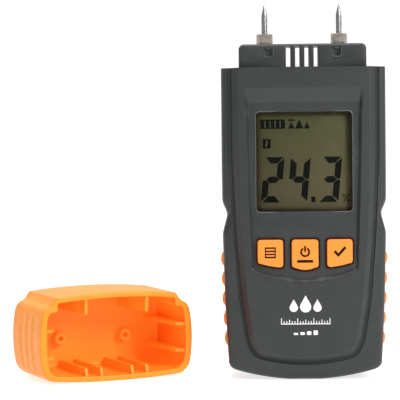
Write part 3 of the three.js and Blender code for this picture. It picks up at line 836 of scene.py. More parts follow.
def case_half_solid(name, loops, face, surface):
    """A closed solid from open loops, widest first, and a face grid inside the last loop."""
    rows, columns = face.shape[:2]
    count = len(loops[0])
    start = len(loops) * count
    flat = face.reshape(-1, 2)
    grid = np.stack([flat[:, 0], surface(flat[:, 0], flat[:, 1]), flat[:, 1]], 1)
    faces = ring_faces(len(loops), count, False)
    faces += ring_faces(rows, columns, False, start)
    border = [start + r * columns for r in range(rows)]
    border += [start + (rows - 1) * columns + c for c in range(1, columns)]
    border += [start + r * columns + columns - 1 for r in range(rows - 2, -1, -1)]
    last = start - count
    faces += [(last + k, last + k + 1, border[k + 1], border[k]) for k in range(count - 1)]
    left = [k * count for k in range(len(loops))]
    right = [(k + 1) * count - 1 for k in range(len(loops))]
    faces.append(tuple(left + [start + c for c in range(columns)] + right[::-1]))
    faces.append(tuple(range(count)))
    return make_object(name, np.vstack([*loops, grid]), faces)


def side_inset(y):
    """How far the crowned side has come in at a depth."""
    return fall(SIDE_CROWN, y - SIDE_MIDDLE)


def front_solid(name, rows, columns, inset, top, back, surface):
    """The front half of the case, or its hollow when inset is more than 0."""
    case = outline_loop(case_half(top), rows, columns)
    panel = pushed(outline_loop(panel_half(top), rows, columns), -inset)
    step = STEP_Y + inset
    loops = [lifted(pushed(case, -inset - side_inset(y)), y) for y in (back, -6.4, -8.0)]
    final = STEP_INSET - side_inset(STEP_Y)
    edge = step + RIM_SLOPE
    for turn in np.linspace(0, math.pi / 2, 9)[1:]:
        y = ROUND_Y + (edge - ROUND_Y) * math.sin(turn)
        amount = final * (1 - math.cos(turn)) + side_inset(y) + inset
        loops.append(lifted(pushed(case, -amount), y))
    flare = FLARE if inset == 0 else 0.8
    face = surface(panel[:, 0], panel[:, 1])
    if inset == 0:
        for away, sunk in ((0.95, 0), (0.8, 0.12), (0.7, 0.42), (0.3, 0.5), (0.1, 0.4)):
            loops.append(lifted(pushed(panel, flare + away), step + sunk))
    else:
        loops.append(lifted(pushed(panel, flare + 0.12), step))
    for part in (0.06, 0.35, 0.65, 0.9):
        depth = step + (face - step) * part
        loops.append(lifted(pushed(panel, flare * (1 - part) ** 0.92), depth))
    loops.append(lifted(pushed(panel, flare * 0.045), step + (face - step) * 0.965))
    return case_half_solid(name, loops, coons(panel, rows, columns), surface)


def rear_solid(name, rows, columns, inset, top, front, surface):
    """The rear half of the case, or its hollow when inset is more than 0."""
    case = outline_loop(case_half(top), rows, columns)
    round_over = 2.6
    start = CASE_REAR - inset - round_over - 1.0
    loops = [
        lifted(pushed(case, -inset - side_inset(y)), y) for y in np.linspace(front, start, 7)
    ]
    border = pushed(case, -inset - round_over - side_inset(start))
    face = surface(border[:, 0], border[:, 1])
    for turn in np.linspace(0, math.pi / 2, 9)[1:-1]:
        y = start + (face - start) * math.sin(turn)
        amount = round_over * (1 - math.cos(turn)) + side_inset(start) + inset
        loops.append(lifted(pushed(case, -amount), y))
    return case_half_solid(name, loops, coons(border, rows, columns), surface)


def neck_tool():
    """Cuts the hole in the case's top for the head's neck."""
    return brick((-19.3, -5.3, 111), (19.3, 9.3, 120))


def grip_pocket(side):
    """Cuts the shallow pocket that a side grip lies in."""
    near, far = sorted((side * 28.3, side * REACH))
    low, high = GRIP_LOW - 0.3, GRIP_HIGH + 0.3
    return brick((near, low[1], low[2]), (far, high[1], high[2]))


def key_outline(side, grow):
    """One key's outline, grown by grow. side is -1, 0 or 1 for left, middle and right."""
    low, high = node_box(KEYS[side])
    centre, flange = (low[0] + high[0]) / 2, 0.75
    half = (high[0] - low[0]) / 2 - flange + grow
    top = high[2] - flange + grow
    outer, inner, sag = (41.4, 41.4, 1.6) if side == 0 else (42.9, 41.6, 0.4)
    left = (outer if side < 0 else inner) - grow
    right = (outer if side > 0 else inner) - grow
    r = 1.3 + grow * 0.6
    x0, x1 = centre - half, centre + half
    bottom = bezier([(x0 + r, left), (centre, (left + right) / 2 - sag), (x1 - r, right)], 13)
    corners = [
        [(x1 - r, right), (x1, right), (x1, right + r)],
        [(x1, top - r), (x1, top), (x1 - r, top)],
        [(x0 + r, top), (x0, top), (x0, top - r)],
        [(x0, left + r), (x0, left), (x0 + r, left)],
    ]
    turns = [bezier(points, 7) for points in corners]
    return np.vstack([bottom, turns[0][1:], turns[1], turns[2], turns[3][:-1]])


def window_outline(grow=0.0):
    """The display window's outline in the front cover."""
    radius = settings().case.window_radius / MM
    half = LENS_HIGH[0] - 1.6 + grow
    return rounded_box_outline(
        -half, half, LENS_LOW[2] + 1.6 - grow, LENS_HIGH[2] - 1.6 + grow, radius + grow
    )


def screw_places():
    """The middle of each case screw, seen from the rear."""
    boxes = [node_box(f"case_screw_{k}") for k in range(1, 5)]
    return [((low[0] + high[0]) / 2, (low[2] + high[2]) / 2) for low, high in boxes]


def at_screws(profile, sides):
    """The same turned solid at each case screw."""
    return [turned(profile, (x, 0, z), sides, "Y") for x, z in screw_places()]


class METER_OT_front_cover(bpy.types.Operator):
    """Build the front cover with its panel, recess, window and key holes"""

    bl_idname = "meter.front_cover"
    bl_label = "Front Cover"

    def execute(self, context):
        back, inner = FRONT_HIGH[1], CASE_FRONT + 2.9
        cover = front_solid(
            "front_cover_shell", ROWS, COLUMNS, 0, CASE_TOP, back, panel_surface
        )
        hollow = front_solid("tool", 60, 31, WALL, 112, 4, flat_surface(inner))
        gap = settings().case.key_gap / MM
        tools = [hollow, prism(window_outline(), -REACH, inner + 1), neck_tool()]
        tools += [prism(key_outline(side, gap), -REACH, inner + 1) for side in KEYS]
        tools += [grip_pocket(-1), grip_pocket(1)]
        boolean(cover, tools)
        boolean(cover, at_screws([(3, STEP_Y + 1.5), (3, back)], 32), "UNION")
        boolean(cover, at_screws([(1.5, STEP_Y + 2.6), (1.5, 5)], 24))
        place(cover, "meter", "housing", housing_finish(), "front_cover")
        # a thin bead round the window in a lighter finish: a painted highlight along the window's
        # edge
        rim_y = CASE_FRONT + settings().case.recess / MM
        edge = window_outline(0.18)
        level = rim_y + fall(FRONT_CROWN, edge[:, 0]) - 0.02
        highlight_bead = swept("window_rim", lifted(edge, level), 0.26)
        place(highlight_bead, "meter", "housing", painted_highlight_finish())
        return {"FINISHED"}


def painted_highlight_finish():
    """A glossy finish 2.4 times lighter than the housing: painted highlight on the beads round the
    window and the head's pockets, where their edges catch the light.
    """
    colour = shade(chosen("housing"), 2.4)
    return moulded_plastic("window_rim_polish", colour, 0.5, 0.24, 0.08, 0.004, coat=0.5)


def rear_surface(x, z, wall=0.0):
    """The rear face's depth at a point, or its inside's with a wall's thickness."""
    return CASE_REAR - wall - fall(REAR_CROWN, x) + 0 * z


class METER_OT_rear_cover(bpy.types.Operator):
    """Build the rear cover with its battery bay and screw wells"""

    bl_idname = "meter.rear_cover"
    bl_label = "Rear Cover"

    def execute(self, context):
        front = REAR_LOW[1]
        cover = rear_solid("rear_cover_shell", 190, 85, 0, CASE_TOP, front, rear_surface)
        hollow = rear_solid(
            "tool", 60, 31, WALL, 112, -12, lambda x, z: rear_surface(x, z, 2.5)
        )
        boolean(cover, [hollow, neck_tool(), grip_pocket(-1), grip_pocket(1)])
        bay, rear, top = 15.6, 14.4, 59
        walls = [
            brick((side * bay - 0.6, front + 1, 4.2), (side * bay + 0.6, rear, top))
            for side in (-1, 1)
        ]
        walls.append(brick((-16.2, 5, 57.9), (16.2, rear, 59.2)))
        for side in (-1, 1):
            near, far = sorted((side * 15, side * 18))
            walls.append(brick((near, 11, 53.8), (far, 14.6, top)))
        walls += at_screws([(3.8, front), (3.8, rear)], 40)
        boolean(cover, walls, "UNION")
        half, gap = 15.0, 0.3
        opening = rounded_box_outline(-half, half, DOOR_LOW[2] - gap, DOOR_HIGH[2] + gap, 0.8)
        tools = [prism(opening, 11.5, REACH), *at_screws([(1.6, -9), (1.6, 14)], 24)]
        tools += at_screws([(3.0, 12), (3.0, 13.6), (3.3, 15.1), (3.9, 15.7), (3.9, 30)], 40)
        tools.append(turned([(0.9, -16.5), (0.9, 16.5)], (0, HINGE_Y, HINGE_Z), 24, "X"))
        boolean(cover, tools)
        place(cover, "meter", "housing", housing_finish(), "rear_cover")
        return {"FINISHED"}


class METER_OT_battery_door(bpy.types.Operator):
    """Build the battery door with its hinge stubs, thumb hollow and ridges"""

    bl_idname = "meter.battery_door"
    bl_label = "Battery Door"

    def execute(self, context):
        half, inner, foot, hinge = 14.7, DOOR_LOW[1], DOOR_LOW[2], (0, HINGE_Y, HINGE_Z)
        radius, thumb_z = (CASE_REAR - inner) / 2, foot + 6
        xs, zs = np.meshgrid(np.linspace(-half, half, 61), np.linspace(foot, HINGE_Z, 90))
        outer = np.stack([xs, rear_surface(xs, zs), zs], 2)
        back = np.stack([xs, np.full_like(xs, inner), zs], 2)
        door = slab("battery_door_plate", outer, back)
        knuckle = turned([(radius, -half), (radius, half)], hinge, 48, "X")
        tips = [(0.45, half + 1.5), (0.6, half + 1.3)]
        pins = turned([(r, -end) for r, end in tips] + tips[::-1], hinge, 24, "X")
        boolean(door, [knuckle, pins], "UNION")
        outline = rounded_box_outline(-half, half, foot, HINGE_Z, 0.6)
        corners = prism(outer_corners(outline, half), 0, REACH)
        slits = [brick((s * 6.2 - 0.4, 0, 0), (s * 6.2 + 0.4, REACH, foot + 9)) for s in (-1, 1)]
        hollow = turned(
            [(0.01, -4.6), (13.6, -4.5), (14, -4.2), (14, 4.2), (13.6, 4.5), (0.01, 4.6)],
            (0, CASE_REAR + 13.1, thumb_z), 160, "X",
        )
        boolean(door, [corners, *slits, hollow])
        ridges = []
        for k in (-2, -1, 0, 1, 2):
            y, z = CASE_REAR - 0.86 + 0.055 * k * k, thumb_z + 1.5 * k
            path = [(x, y, z) for x in np.linspace(-3.4, 3.4, 9)]
            ridges.append(swept("tool", path, 0.34, 12, closed=False))
        boolean(door, ridges, "UNION")
        place(door, "battery_door", "housing", housing_finish(), "battery_door")
        return {"FINISHED"}


def outer_corners(outline, half):
    """What lies outside the lower round corners of the door's outline."""
    lower = outline[outline[:, 1] < (DOOR_LOW[2] + HINGE_Z) / 2]
    line = lower[np.argsort(lower[:, 0], kind="stable")]
    wide, under = half + 2, DOOR_LOW[2] - 3
    around = [(wide, line[-1, 1]), (wide, under), (-wide, under), (-wide, line[0, 1])]
    return np.vstack([line, around])[::-1]


# ---------------------------------------------------------------- head, nuts and pins

class METER_OT_probe_head(bpy.types.Operator):
    """Build the head block with its slots and pockets"""

    bl_idname = "meter.probe_head"
    bl_label = "Probe Head"

    def execute(self, context):
        half, top, edge = HEAD_HIGH[0] + 0.2, HEAD_HIGH[2], 1.2
        outline = rounded_box_outline(-half, half, CASE_TOP - 6, top, 2.0, 8)
        normals = closed_normals(outline)
        rings = [
            lifted(outline - normals * inset, HEAD_REAR - drop)
            for inset, drop in quarter_round(edge, 7, False)
        ]
        rings += [
            lifted(outline - normals * inset, HEAD_FRONT + drop)
            for inset, drop in quarter_round(edge, 7)
        ]
        head = loft("probe_head", rings, 40)
        tools = [brick((-REACH, -REACH, 100), (REACH, REACH, CASE_TOP + 0.25))]
        for x in (-5.1, -1.7, 1.7, 5.1):
            low, high = (x - 0.97, -REACH, CASE_TOP + 0.5), (x + 0.97, REACH, top - 0.7)
            tools.append(brick(low, high))
        for side in (-1, 1):
            pocket = pocket_outline(side * POCKET_X, 1.45)
            tools.append(prism(pocket, -REACH, HEAD_FRONT + 1.3))
        boolean(head, tools, sharp=40)
        soften(head, 0.16, 2, 55, 50)
        neck = brick((-19, -5, 111.4), (19, 9, CASE_TOP + 0.6))
        foot = brick((-20.4, -5, HEAD_LOW[2]), (20.4, 11, 111.7))
        boolean(head, [neck, foot], "UNION", 40)
        bore = [(2.7, 100), (2.7, 140)]
        boolean(head, [turned(bore, (side * PIN_X, PIN_Y, 0), 40) for side in (-1, 1)], sharp=40)
        # the head gets the housing's plastic 1.3 times lighter: painted light, since it is the
        # same plastic as the case
        place(head, "meter", "housing", housing_finish(1.3), "probe_block")
        for side, word in SIDES:
            x = side * POCKET_X
            # beads round the pockets and small tongues at their tops in a lighter finish: painted
            # highlights on the pockets' edges
            path = lifted(pocket_outline(x, 1.75, open_top=True), HEAD_FRONT - 0.02)
            highlight_bead = swept(f"pocket_rim_{word}", path, 0.24, closed=False)
            place(highlight_bead, "meter", "housing", painted_highlight_finish())
            tongue = pillow(
                f"pocket_tongue_{word}",
                rounded_box_outline(x - 0.95, x + 0.95, 121.3, 122.7, 0.55, 5),
                HEAD_FRONT + 1.5, HEAD_FRONT + 0.12, 0.35, 0.1,
            )
            place(tongue, "meter", "housing", painted_highlight_finish())
        return {"FINISHED"}


def pocket_outline(x, half, open_top=False):
    """The outline of a pocket with a round lower end, in the head's front face."""
    low, high, radius = 118.6, 121.9, 1.0
    right = arc(x + half - radius, low - half + 1.45 + radius, radius, -90, 0, 7)
    left = right[::-1] * (-1, 1) + (2 * x, 0)
    if open_top:
        return np.vstack([[(x - half, high)], left, right, [(x + half, high)]])
    return np.vstack([left, right, [(x + half, high), (x - half, high)]])


class METER_OT_pins_and_nuts(bpy.types.Operator):
    """Build the two probe pins and the hexagonal nuts that hold them"""

    bl_idname = "meter.pins_and_nuts"
    bl_label = "Pins and Nuts"

    def execute(self, context):
        steel = turned_metal("pin_steel", (0.4, 0.4, 0.39), 0.33, 0.3, 0.0008)
        nickel = turned_metal("nut_nickel", (0.5, 0.45, 0.385), 0.34, 0.3, 0.01, stain=0.5)
        foot, tip = PIN_LOW[2], PIN_HIGH[2]
        low, high = NUT_LOW[2], NUT_HIGH[2]
        corner = (NUT_HIGH[0] - NUT_LOW[0]) / 2
        flat, wide = corner * 0.9, corner + 0.05
        round_over = [(flat, low), (wide, low + 0.35), (wide, high - 0.4), (flat, high)]
        hollow = [(1.4, low - 1), (1.4, high - 0.25), (1.75, high + 0.1), (1.75, high + 1)]
        for side, word in SIDES:
            centre = (side * PIN_X, PIN_Y, 0)
            pin = turned(pin_profile(foot, tip), centre, 64, name=f"pin_{word}")
            place(pin, f"pin_{word}", "steel", steel, f"probe_pin_{word}")
            nut = turned([(corner, low), (corner, high)], centre, 6, name=f"nut_{word}")
            boolean(nut, [turned(round_over, centre, 64)], "INTERSECT")
            soften(nut, 0.07, 2, 25, 50)
            stub = turned([(2.2, low - 1), (2.2, high - 1)], centre, 40)
            boolean(nut, [stub, turned(hollow, centre, 40)], sharp=40)
            place(nut, f"nut_{word}", "nickel", nickel, f"collet_nut_{word}")
        return {"FINISHED"}


def pin_profile(foot, tip):
    """A ground pin: radius at heights, with a short step before its long point."""
    shoulder, neck = tip - 4.3, 0.98
    profile = [(0.0, foot), (0.8, foot), (1.0, foot + 0.1), (1.1, foot + 0.35), (1.1, foot + 12)]
    profile += [(1.1, shoulder - 0.25), (1.07, shoulder), (neck, shoulder + 0.3)]
    for part in np.linspace(0.1, 1, 10):
        profile.append((neck * (1 - part) ** 0.93 + 0.02, shoulder + 0.3 + part * 3.9))
    return profile + [(0.0, tip)]


# ---------------------------------------------------------------- display

def lens_finish():
    """A clear acrylic window: almost clear, with reflections and a few fine scratches."""
    finish = Finish("window_acrylic")
    scratch = finish.step(finish.noise(2.5, 8, 0.8, (1, 1, 0.08)), 0.66, 0.7)
    haze = finish.noise(12, 3)
    clear = finish.node("ShaderNodeBsdfTransparent", {}, {"Color": (0.96, 0.965, 0.95)})
    finish.surface(
        Base_Color=(0.02, 0.02, 0.02), Roughness=0.07 + scratch * 0.2 + haze * 0.03,
        Specular_IOR_Level=0.5,
    )
    gloss = finish.node("ShaderNodeFresnel", {}, {"IOR": 1.2})
    plastic = Field(finish, finish.shader.outputs[0])
    mix = finish.node("ShaderNodeMixShader", {}, {0: gloss + scratch * 0.02, 1: clear, 2: plastic})
    output = next(n for n in finish.tree.nodes if n.type == "OUTPUT_MATERIAL")
    finish.feed(output.inputs[0], mix)
    return finish.material


def display_finish():
    """The display's olive background with painted shade and light: darker and browner towards its
    edges, most at the right, where the window's frame shades it, and lighter towards the bottom
    where more light falls in; with a faint fine grain.
    """
    finish = Finish("display_olive")
    colour = chosen("display")
    x, z = finish.axis("X"), finish.axis("Z")
    middle = (LENS_LOW[2] + LENS_HIGH[2]) / 2 * MM
    # masks for painted shade along the display's edges, where the window's frame casts shadow on
    # it
    side = finish.step(abs(x), 0.0148, 0.0168)
    ends = finish.step(abs(z - middle), 0.0162, 0.0178)
    right = finish.step(x, 0.0142, 0.0168)
    tone = finish.step(finish.noise(11, 2, 0.5), 0.3, 0.7)
    base = finish.vary(tone, colour, 0.88, 1.08)
    # painted light: lighter and browner towards the bottom, darker towards the top
    low = finish.step(z, middle - 0.018, middle + 0.016)
    base = finish.blend(low, shade((0.15, 0.125, 0.066), 0.92), base)
    # painted shade: darker and browner at the sides, the top and bottom edges, and more at the
    # right
    base = finish.blend(side * 0.75, base, (0.06, 0.046, 0.022))
    base = finish.blend(ends * 0.6, base, (0.05, 0.042, 0.022))
    base = finish.blend(right * 0.35, base, (0.05, 0.047, 0.026))
    grain = finish.noise(0.25, 2)
    return finish.surface(
        Base_Color=base,
        Roughness=0.5 + (grain - 0.5) * 0.1,
        Normal=finish.bump(grain, 0.003),
        Specular_IOR_Level=0.12,
    )


def segment_shapes(x, z, w, h, t, lit):
    """The lit segments of one seven-segment digit whose lower left corner is at x, z. w and h
    are the digit's width and height, and t is how thick its segments are."""
    gap, half, middle = 0.12, t / 2, h / 2
    shapes = {
        "top": [(gap + 0.3, h), (w - gap - 0.3, h), (w - t - gap, h - t), (t + gap, h - t)],
        "bottom": [(gap + 0.3, 0), (t + gap, t), (w - t - gap, t), (w - gap - 0.3, 0)],
        "middle": [
            (half + gap, middle), (t + gap, middle + half), (w - t - gap, middle + half),
            (w - half - gap, middle), (w - t - gap, middle - half), (t + gap, middle - half),
        ],
        "upper_right": [
            (w, h - 0.3 - gap), (w, middle + gap + 0.2), (w - half, middle + gap),
            (w - t, middle + half + gap), (w - t, h - t - gap),
        ],
        "lower_right": [
            (w, gap + 0.3), (w - t, t + gap), (w - t, middle - half - gap),
            (w - half, middle - gap), (w, middle - gap - 0.2),
        ],
    }
    for word in ("upper", "lower"):
        shapes[f"{word}_left"] = [(w - px, pz) for px, pz in shapes[f"{word}_right"]]
    slant = math.tan(math.radians(5.5))
    return [
        np.array([(x + px + slant * pz, z + pz) for px, pz in shapes[name]]) for name in lit
    ]


DIGITS = {
    "2": ("top", "upper_right", "middle", "lower_left", "bottom"),
    "4": ("upper_left", "upper_right", "middle", "lower_right"),
    "3": ("top", "upper_right", "middle", "lower_right", "bottom"),
}


def ring_shape(x, z, outer, inner, start, end, steps=28):
    """An open ring between two radii, from a start angle to an end angle in degrees."""
    return band(arc(x, z, inner, start, end, steps), arc(x, z, outer, start, end, steps))


def bar_shape(x0, z0, x1, z1, width):
    """A straight bar between two points."""
    a, b = np.array((x0, z0), float), np.array((x1, z1), float)
    along = (b - a) / np.linalg.norm(b - a)
    side = np.array((along[1], -along[0])) * width / 2
    return np.array([a + side, b + side, b - side, a - side])


def droplet_shape(x, z, height):
    """A drop of water, its point upwards."""
    r = height * 0.33
    return np.vstack([arc(x, z + r, r, -215, 35, 26), [(x, z + height)]])


def display_marks():
    """The reading on the display: digits, point and per cent sign."""
    low, height, width, thick = 65.1, 16.6, 7.3, 2.35
    shapes = []
    for x, figure in ((-15.9, "2"), (-6.3, "4"), (5.1, "3")):
        shapes += segment_shapes(x, low, width, height, thick, DIGITS[figure])
    shapes.append(rounded_box_outline(2.5, 4.1, low, low + 2.1, 0.25, 3))
    shapes.append(bar_shape(14.3, low + 0.1, 16.1, low + 3.0, 0.32))
    shapes.append(ring_shape(14.35, low + 2.3, 0.62, 0.34, 90, 449))
    shapes.append(ring_shape(16.1, low + 0.75, 0.62, 0.34, 90, 449))
    return shapes


def status_marks():
    """Signs at the display's upper left: a barred box, three peaks and a small box."""
    z0, z1, line = 92.0, 95.4, 0.45
    left, right = -15.8, -6.8
    low, high = z0 + line, z1 - line
    shapes = [
        box_shape(left, z0, right, low), box_shape(left, high, right, z1),
        box_shape(left, low, left + 1.5, high), box_shape(right - 1.5, low, right, high),
    ]
    for k in range(3):
        x = left + 1.95 + k * 1.85
        shapes.append(box_shape(x, low, x + 1.4, high))
    shapes += [
        [(-5.7, z0), (-4.5, z1 - 0.9), (-3.3, z0)],
        [(-3.1, z0), (-1.6, z1), (-0.1, z0)],
        [(0.1, z0), (1.2, z1 - 0.9), (2.3, z0)],
        box_shape(-5.6, z1 - 0.6, -3.2, z1),
    ]
    x, z, width = -15.0, 84.9, 2.9
    low, high = z + 0.5, z + width
    shapes += [
        box_shape(x, z, x + width, low), box_shape(x, high, x + width, z + 3.4),
        [(x, low), (x + 0.9, low), (x + 1.3, high), (x, high)],
        [(x + 1.6, low), (x + width, low), (x + width, high), (x + 2.0, high)],
    ]
    return shapes


class METER_OT_display(bpy.types.Operator):
    """Build the window, the display's glass and everything lit on it"""

    bl_idname = "meter.display"
    bl_label = "Display"

    def execute(self, context):
        pane = brick(LENS_LOW, LENS_HIGH, "window_pane")
        soften(pane, 0.15, 2)
        place(pane, "meter", "lens", lens_finish(), "display_lens")
        glass = brick(GLASS_LOW, GLASS_HIGH, "display_cell")
        soften(glass, 0.15, 2)
        place(glass, "meter", "display", display_finish(), "display_glass")
        ink = ink_finish("display_black", (0.002, 0.003, 0.0025), 0.6)
        face = flat_surface(GLASS_LOW[1])
        place(plates("display_digits", display_marks(), face), "meter", "display", ink)
        place(plates("display_signs", status_marks(), face), "meter", "display", ink)
        return {"FINISHED"}


# ---------------------------------------------------------------- keys

def key_marks(side, x, z):
    """A generic sign for each key: menu bars, a power sign with a bar, and a tick."""
    if side == -1:
        half, line = 2.0, 0.6
        x0, x1, z0, z1 = x - half, x + half, z - half, z + half
        marks = [box_shape(x0, z0, x1, z0 + line), box_shape(x0, z1 - line, x1, z1)]
        marks += [box_shape(x0, z + low, x1, z + low + 0.55) for low in (-0.85, 0.25)]
        for s in (-1, 1):
            near, far = sorted((x + s * (half - 0.45), x + s * half))
            for low, high in ((z0 + line, z - 0.75), (z + 0.75, z1 - line), (z - 0.2, z + 0.2)):
                marks.append(box_shape(near, low, far, high))
        return marks
    if side == 0:
        top = z + 0.75
        return [
            ring_shape(x, top, 1.8, 1.12, 118, 422, 36),
            bar_shape(x, top + 0.1, x, top + 2.2, 0.66),
            rounded_box_outline(x - 2.9, x + 2.9, z - 3.1, z - 2.1, 0.35, 4),
        ]
    return [
        np.array([
            (x - 2.3, z + 0.1), (x - 0.6, z - 1.75), (x + 2.4, z + 1.5),
            (x + 1.7, z + 2.2), (x - 0.6, z - 0.4), (x - 1.6, z + 0.75),
        ])
    ]

def domed_surface(face, outline, dome):
    """A surface function for a key's domed front."""
    middle = outline.mean(axis=0)
    spread = np.abs(outline - middle).max()

    def surface(x, z):
        away = np.hypot(x - middle[0], z - middle[1]) / spread
        return face + dome * np.clip(away, 0, 1) ** 2

    return surface


class METER_OT_keys(bpy.types.Operator):
    """Build the three orange keys and their signs"""

    bl_idname = "meter.keys"
    bl_label = "Keys"

    def execute(self, context):
        finish = key_finish()
        ink = ink_finish("key_ink", (0.016, 0.002, 0.002))
        # near-black finish for the sheet in the gap round each key: painted shade where the gap is
        # dark
        dark = ink_finish("key_gap_dark", (0.02, 0.004, 0.003), 0.7)
        dome, edge, stem_z = 0.16, 0.45, 46.6
        for side, node in KEYS.items():
            word = node.removeprefix("button_")
            low, high = node_box(node)
            front, rear = low[1], high[1]
            outline = key_outline(side, 0)
            key = pillow(f"key_{word}", outline, front + 3.9, front, edge, dome)
            flange = prism(key_outline(side, 0.7), front + 2.75, front + 3.75)
            stem = turned(
                [(2, front + 3.5), (2, rear - 0.2), (1.8, rear)],
                ((low[0] + high[0]) / 2, 0, stem_z), 32, "Y",
            )
            boolean(key, [flange, stem], "UNION", 40)
            place(key, node, "orange_plastic", finish, node)
            # a dark sheet a little behind each key's front, filling the gap round it: painted
            # shade
            gap_shade_face = flat_surface(front + 0.75)
            gap_shade = plates(f"key_skirt_{word}", [key_outline(side, 0.6)], gap_shade_face, 0.1)
            place(gap_shade, node, "orange_plastic", dark)
            signs = key_marks(side, outline.mean(axis=0)[0], 46.4 if side == 0 else 47.0)
            face = domed_surface(front, outline, dome)
            marks = plates(f"key_sign_{word}", signs, face, 0.04)
            place(marks, node, "orange_plastic", ink)
        return {"FINISHED"}


# ---------------------------------------------------------------- print on the front

def scale_marks():
    """A generic printed mark: three drops of rising size over a graduated scale."""
    shapes = [droplet_shape(0, 25.2, 6.2)]
    shapes += [droplet_shape(x, 25.4, 4.6) for x in (-4.3, 4.3)]
    half, line = 9.0, 21.2
    parts = np.linspace(-half, half, 25)
    shapes.append(band(
        np.stack([parts, np.full_like(parts, line)], 1),
        np.stack([parts, np.full_like(parts, line - 0.34)], 1),
    ))
    for k, x in enumerate(np.linspace(-half + 0.2, half - 0.2, 19)):
        tall = 1.9 if k % 6 == 0 else (1.4 if k % 3 == 0 else 0.9)
        shapes.append(bar_shape(x, line + 0.02, x, line + tall, 0.3))
    for k, x in enumerate((-3.6, -1.2, 1.2, 3.6)):
        shapes.append(rounded_box_outline(x - 0.8, x + 0.8, 17.0, 17.8 + 0.28 * k, 0.25, 3))
    return shapes


class METER_OT_front_print(bpy.types.Operator):
    """Build the white printed mark on the lower front panel"""

    bl_idname = "meter.front_print"
    bl_label = "Front Print"

    def execute(self, context):
        ink = ink_finish("white_ink", (0.82, 0.83, 0.82), 0.55)
        mark = plates("front_print", scale_marks(), panel_surface, 0.04)
        place(mark, "meter", "housing", ink)
        return {"FINISHED"}


# ---------------------------------------------------------------- side grips

class METER_OT_side_grips(bpy.types.Operator):
    """Build the two rubber side grips with their rounded bumps"""

    bl_idname = "meter.side_grips"
    bl_label = "Side Grips"

    def execute(self, context):
        rubber = rubber_finish()
        low, high = GRIP_LOW, GRIP_HIGH
        proud = settings().case.bump_proud / MM
        z = np.linspace(low[2], high[2], 200)
        y = np.linspace(low[1], high[1], 61)
        ys, zs = np.meshgrid(y, z)
        width = soft_side(CASE_SIDE, z)[:, None] - side_inset(ys)
        bump = np.zeros_like(zs)
        for centre in np.linspace(14.7, 44.3, 5):
            t = np.clip(np.abs(zs - centre) / 2.45, 0, 1)
            bump = np.maximum(bump, (1 - t**2.2) ** 0.75)
        ends = np.clip((high[1] - 0.4 - np.abs(ys)) / 1.6, 0, 1)
        bump = bump * (1 - (1 - ends) ** 2.4) ** 0.6
        edge = np.minimum(high[1] - np.abs(ys), np.minimum(zs - low[2], high[2] - zs))
        lip = 0.35 * (1 - smooth(edge / 0.5))
        skin = width - lip + proud * bump
        root = width.min() - 1.1 + 0 * skin
        for side, word in SIDES:
            outer, inner = (np.stack([side * x, ys, zs], 2) for x in (skin, root))
            grip = slab(f"grip_{word}", outer, inner, 50)
            place(grip, "meter", "orange_rubber", rubber, f"side_grip_{word}")
        return {"FINISHED"}


# ---------------------------------------------------------------- protective cap

def cap_line(front, step, flank, corner, rear):
    """A closed cross-section from the right half's parts. Sections made here match point for
    point. The step's corners are (x, y, radius) and are rounded; the rest are plain points."""
    face = np.linspace(0, step[0][0] - 0.9, 22)
    line = [np.array((x, front + fall(CAP_CROWN, x))) for x in face]
    turns = [line[-1], *(np.array(c[:2], float) for c in step), np.array(flank[0], float)]
    for before, here, after, (_, _, radius) in zip(turns, turns[1:], turns[2:], step):
        a = here + (before - here) / np.linalg.norm(before - here) * radius
        b = here + (after - here) / np.linalg.norm(after - here) * radius
        line += list(bezier([a, here, b], 7))
    heights = np.linspace(flank[0][1], corner[-1][1], 34)
    side = flank + corner
    bend = np.interp(heights, [y for _, y in side], [x for x, _ in side])
    ends = np.pad(bend, 2, mode="reflect", reflect_type="odd")
    soft = np.convolve(ends, np.ones(5) / 5, "valid")
    line += [np.array(point) for point in zip(soft, heights)]
    rear_x = np.linspace(corner[-1][0] - 1.2, 0, 24)
    line += [np.array((x, rear - fall(REAR_CROWN, x))) for x in rear_x]
    right = np.array(line)
    return np.vstack([right, right[-2:0:-1] * (-1, 1)])


def cap_outer():
    """The outside of the cap's cross-section."""
    edge = CAP_FRONT + fall(CAP_CROWN, CAP_STEP_HALF)
    step = [
        (CAP_STEP_HALF, edge, 0.6), (25.5, edge + 2.7, 0.5),
        (28.1, edge + 4.2, 1.0), (29.1, edge + 5.9, 1.0),
    ]
    flank = [(29.55, edge + 8.2), (30.0, edge + 11.5), (30.2, 0.5), (30.0, 5.0), (29.5, 9.0)]
    corner = [(28.8, 11.6), (27.6, 13.2), (26.0, 14.1)]
    return cap_line(CAP_FRONT, step, flank, corner, CASE_REAR)


def cap_inner():
    """The inside of the cap's cross-section."""
    wall = settings().cap.wall / MM
    edge = CAP_FRONT + fall(CAP_CROWN, CAP_STEP_HALF)
    step = [
        (23.1, edge + wall, 0.4), (23.35, edge + 4.95, 0.4),
        (26.2, edge + 5.4, 0.8), (27.0, edge + 7.6, 0.6),
    ]
    flank = [(27.15, edge + 8.6), (27.35, edge + 11.5), (27.5, 0.5), (27.4, 4.5), (27.0, 8.4)]
    corner = [(26.5, 10.4), (25.6, 11.7), (24.4, 12.3)]
    return cap_line(CAP_FRONT + wall, step, flank, corner, CASE_REAR - wall)


def drawn_in(section, amount):
    """A section made smaller all round by about amount."""
    middle = np.array((0.0, (CAP_FRONT + CASE_REAR) / 2))
    shrink = np.array((1 - amount / 30, 1 - amount / 16))
    return middle + (section - middle) * shrink


def risen(section, depth):
    """A section made taller and wider with its distance from the mouth, its underside staying
    level."""
    grown, part = np.array(section), depth / CAP_LENGTH
    grown[:, 0] *= 1 + CAP_RISE / CASE_HALF * part
    grown[:, 1] += (grown[:, 1] - CASE_REAR) * CAP_RISE / CAP_THICKNESS * part
    return grown


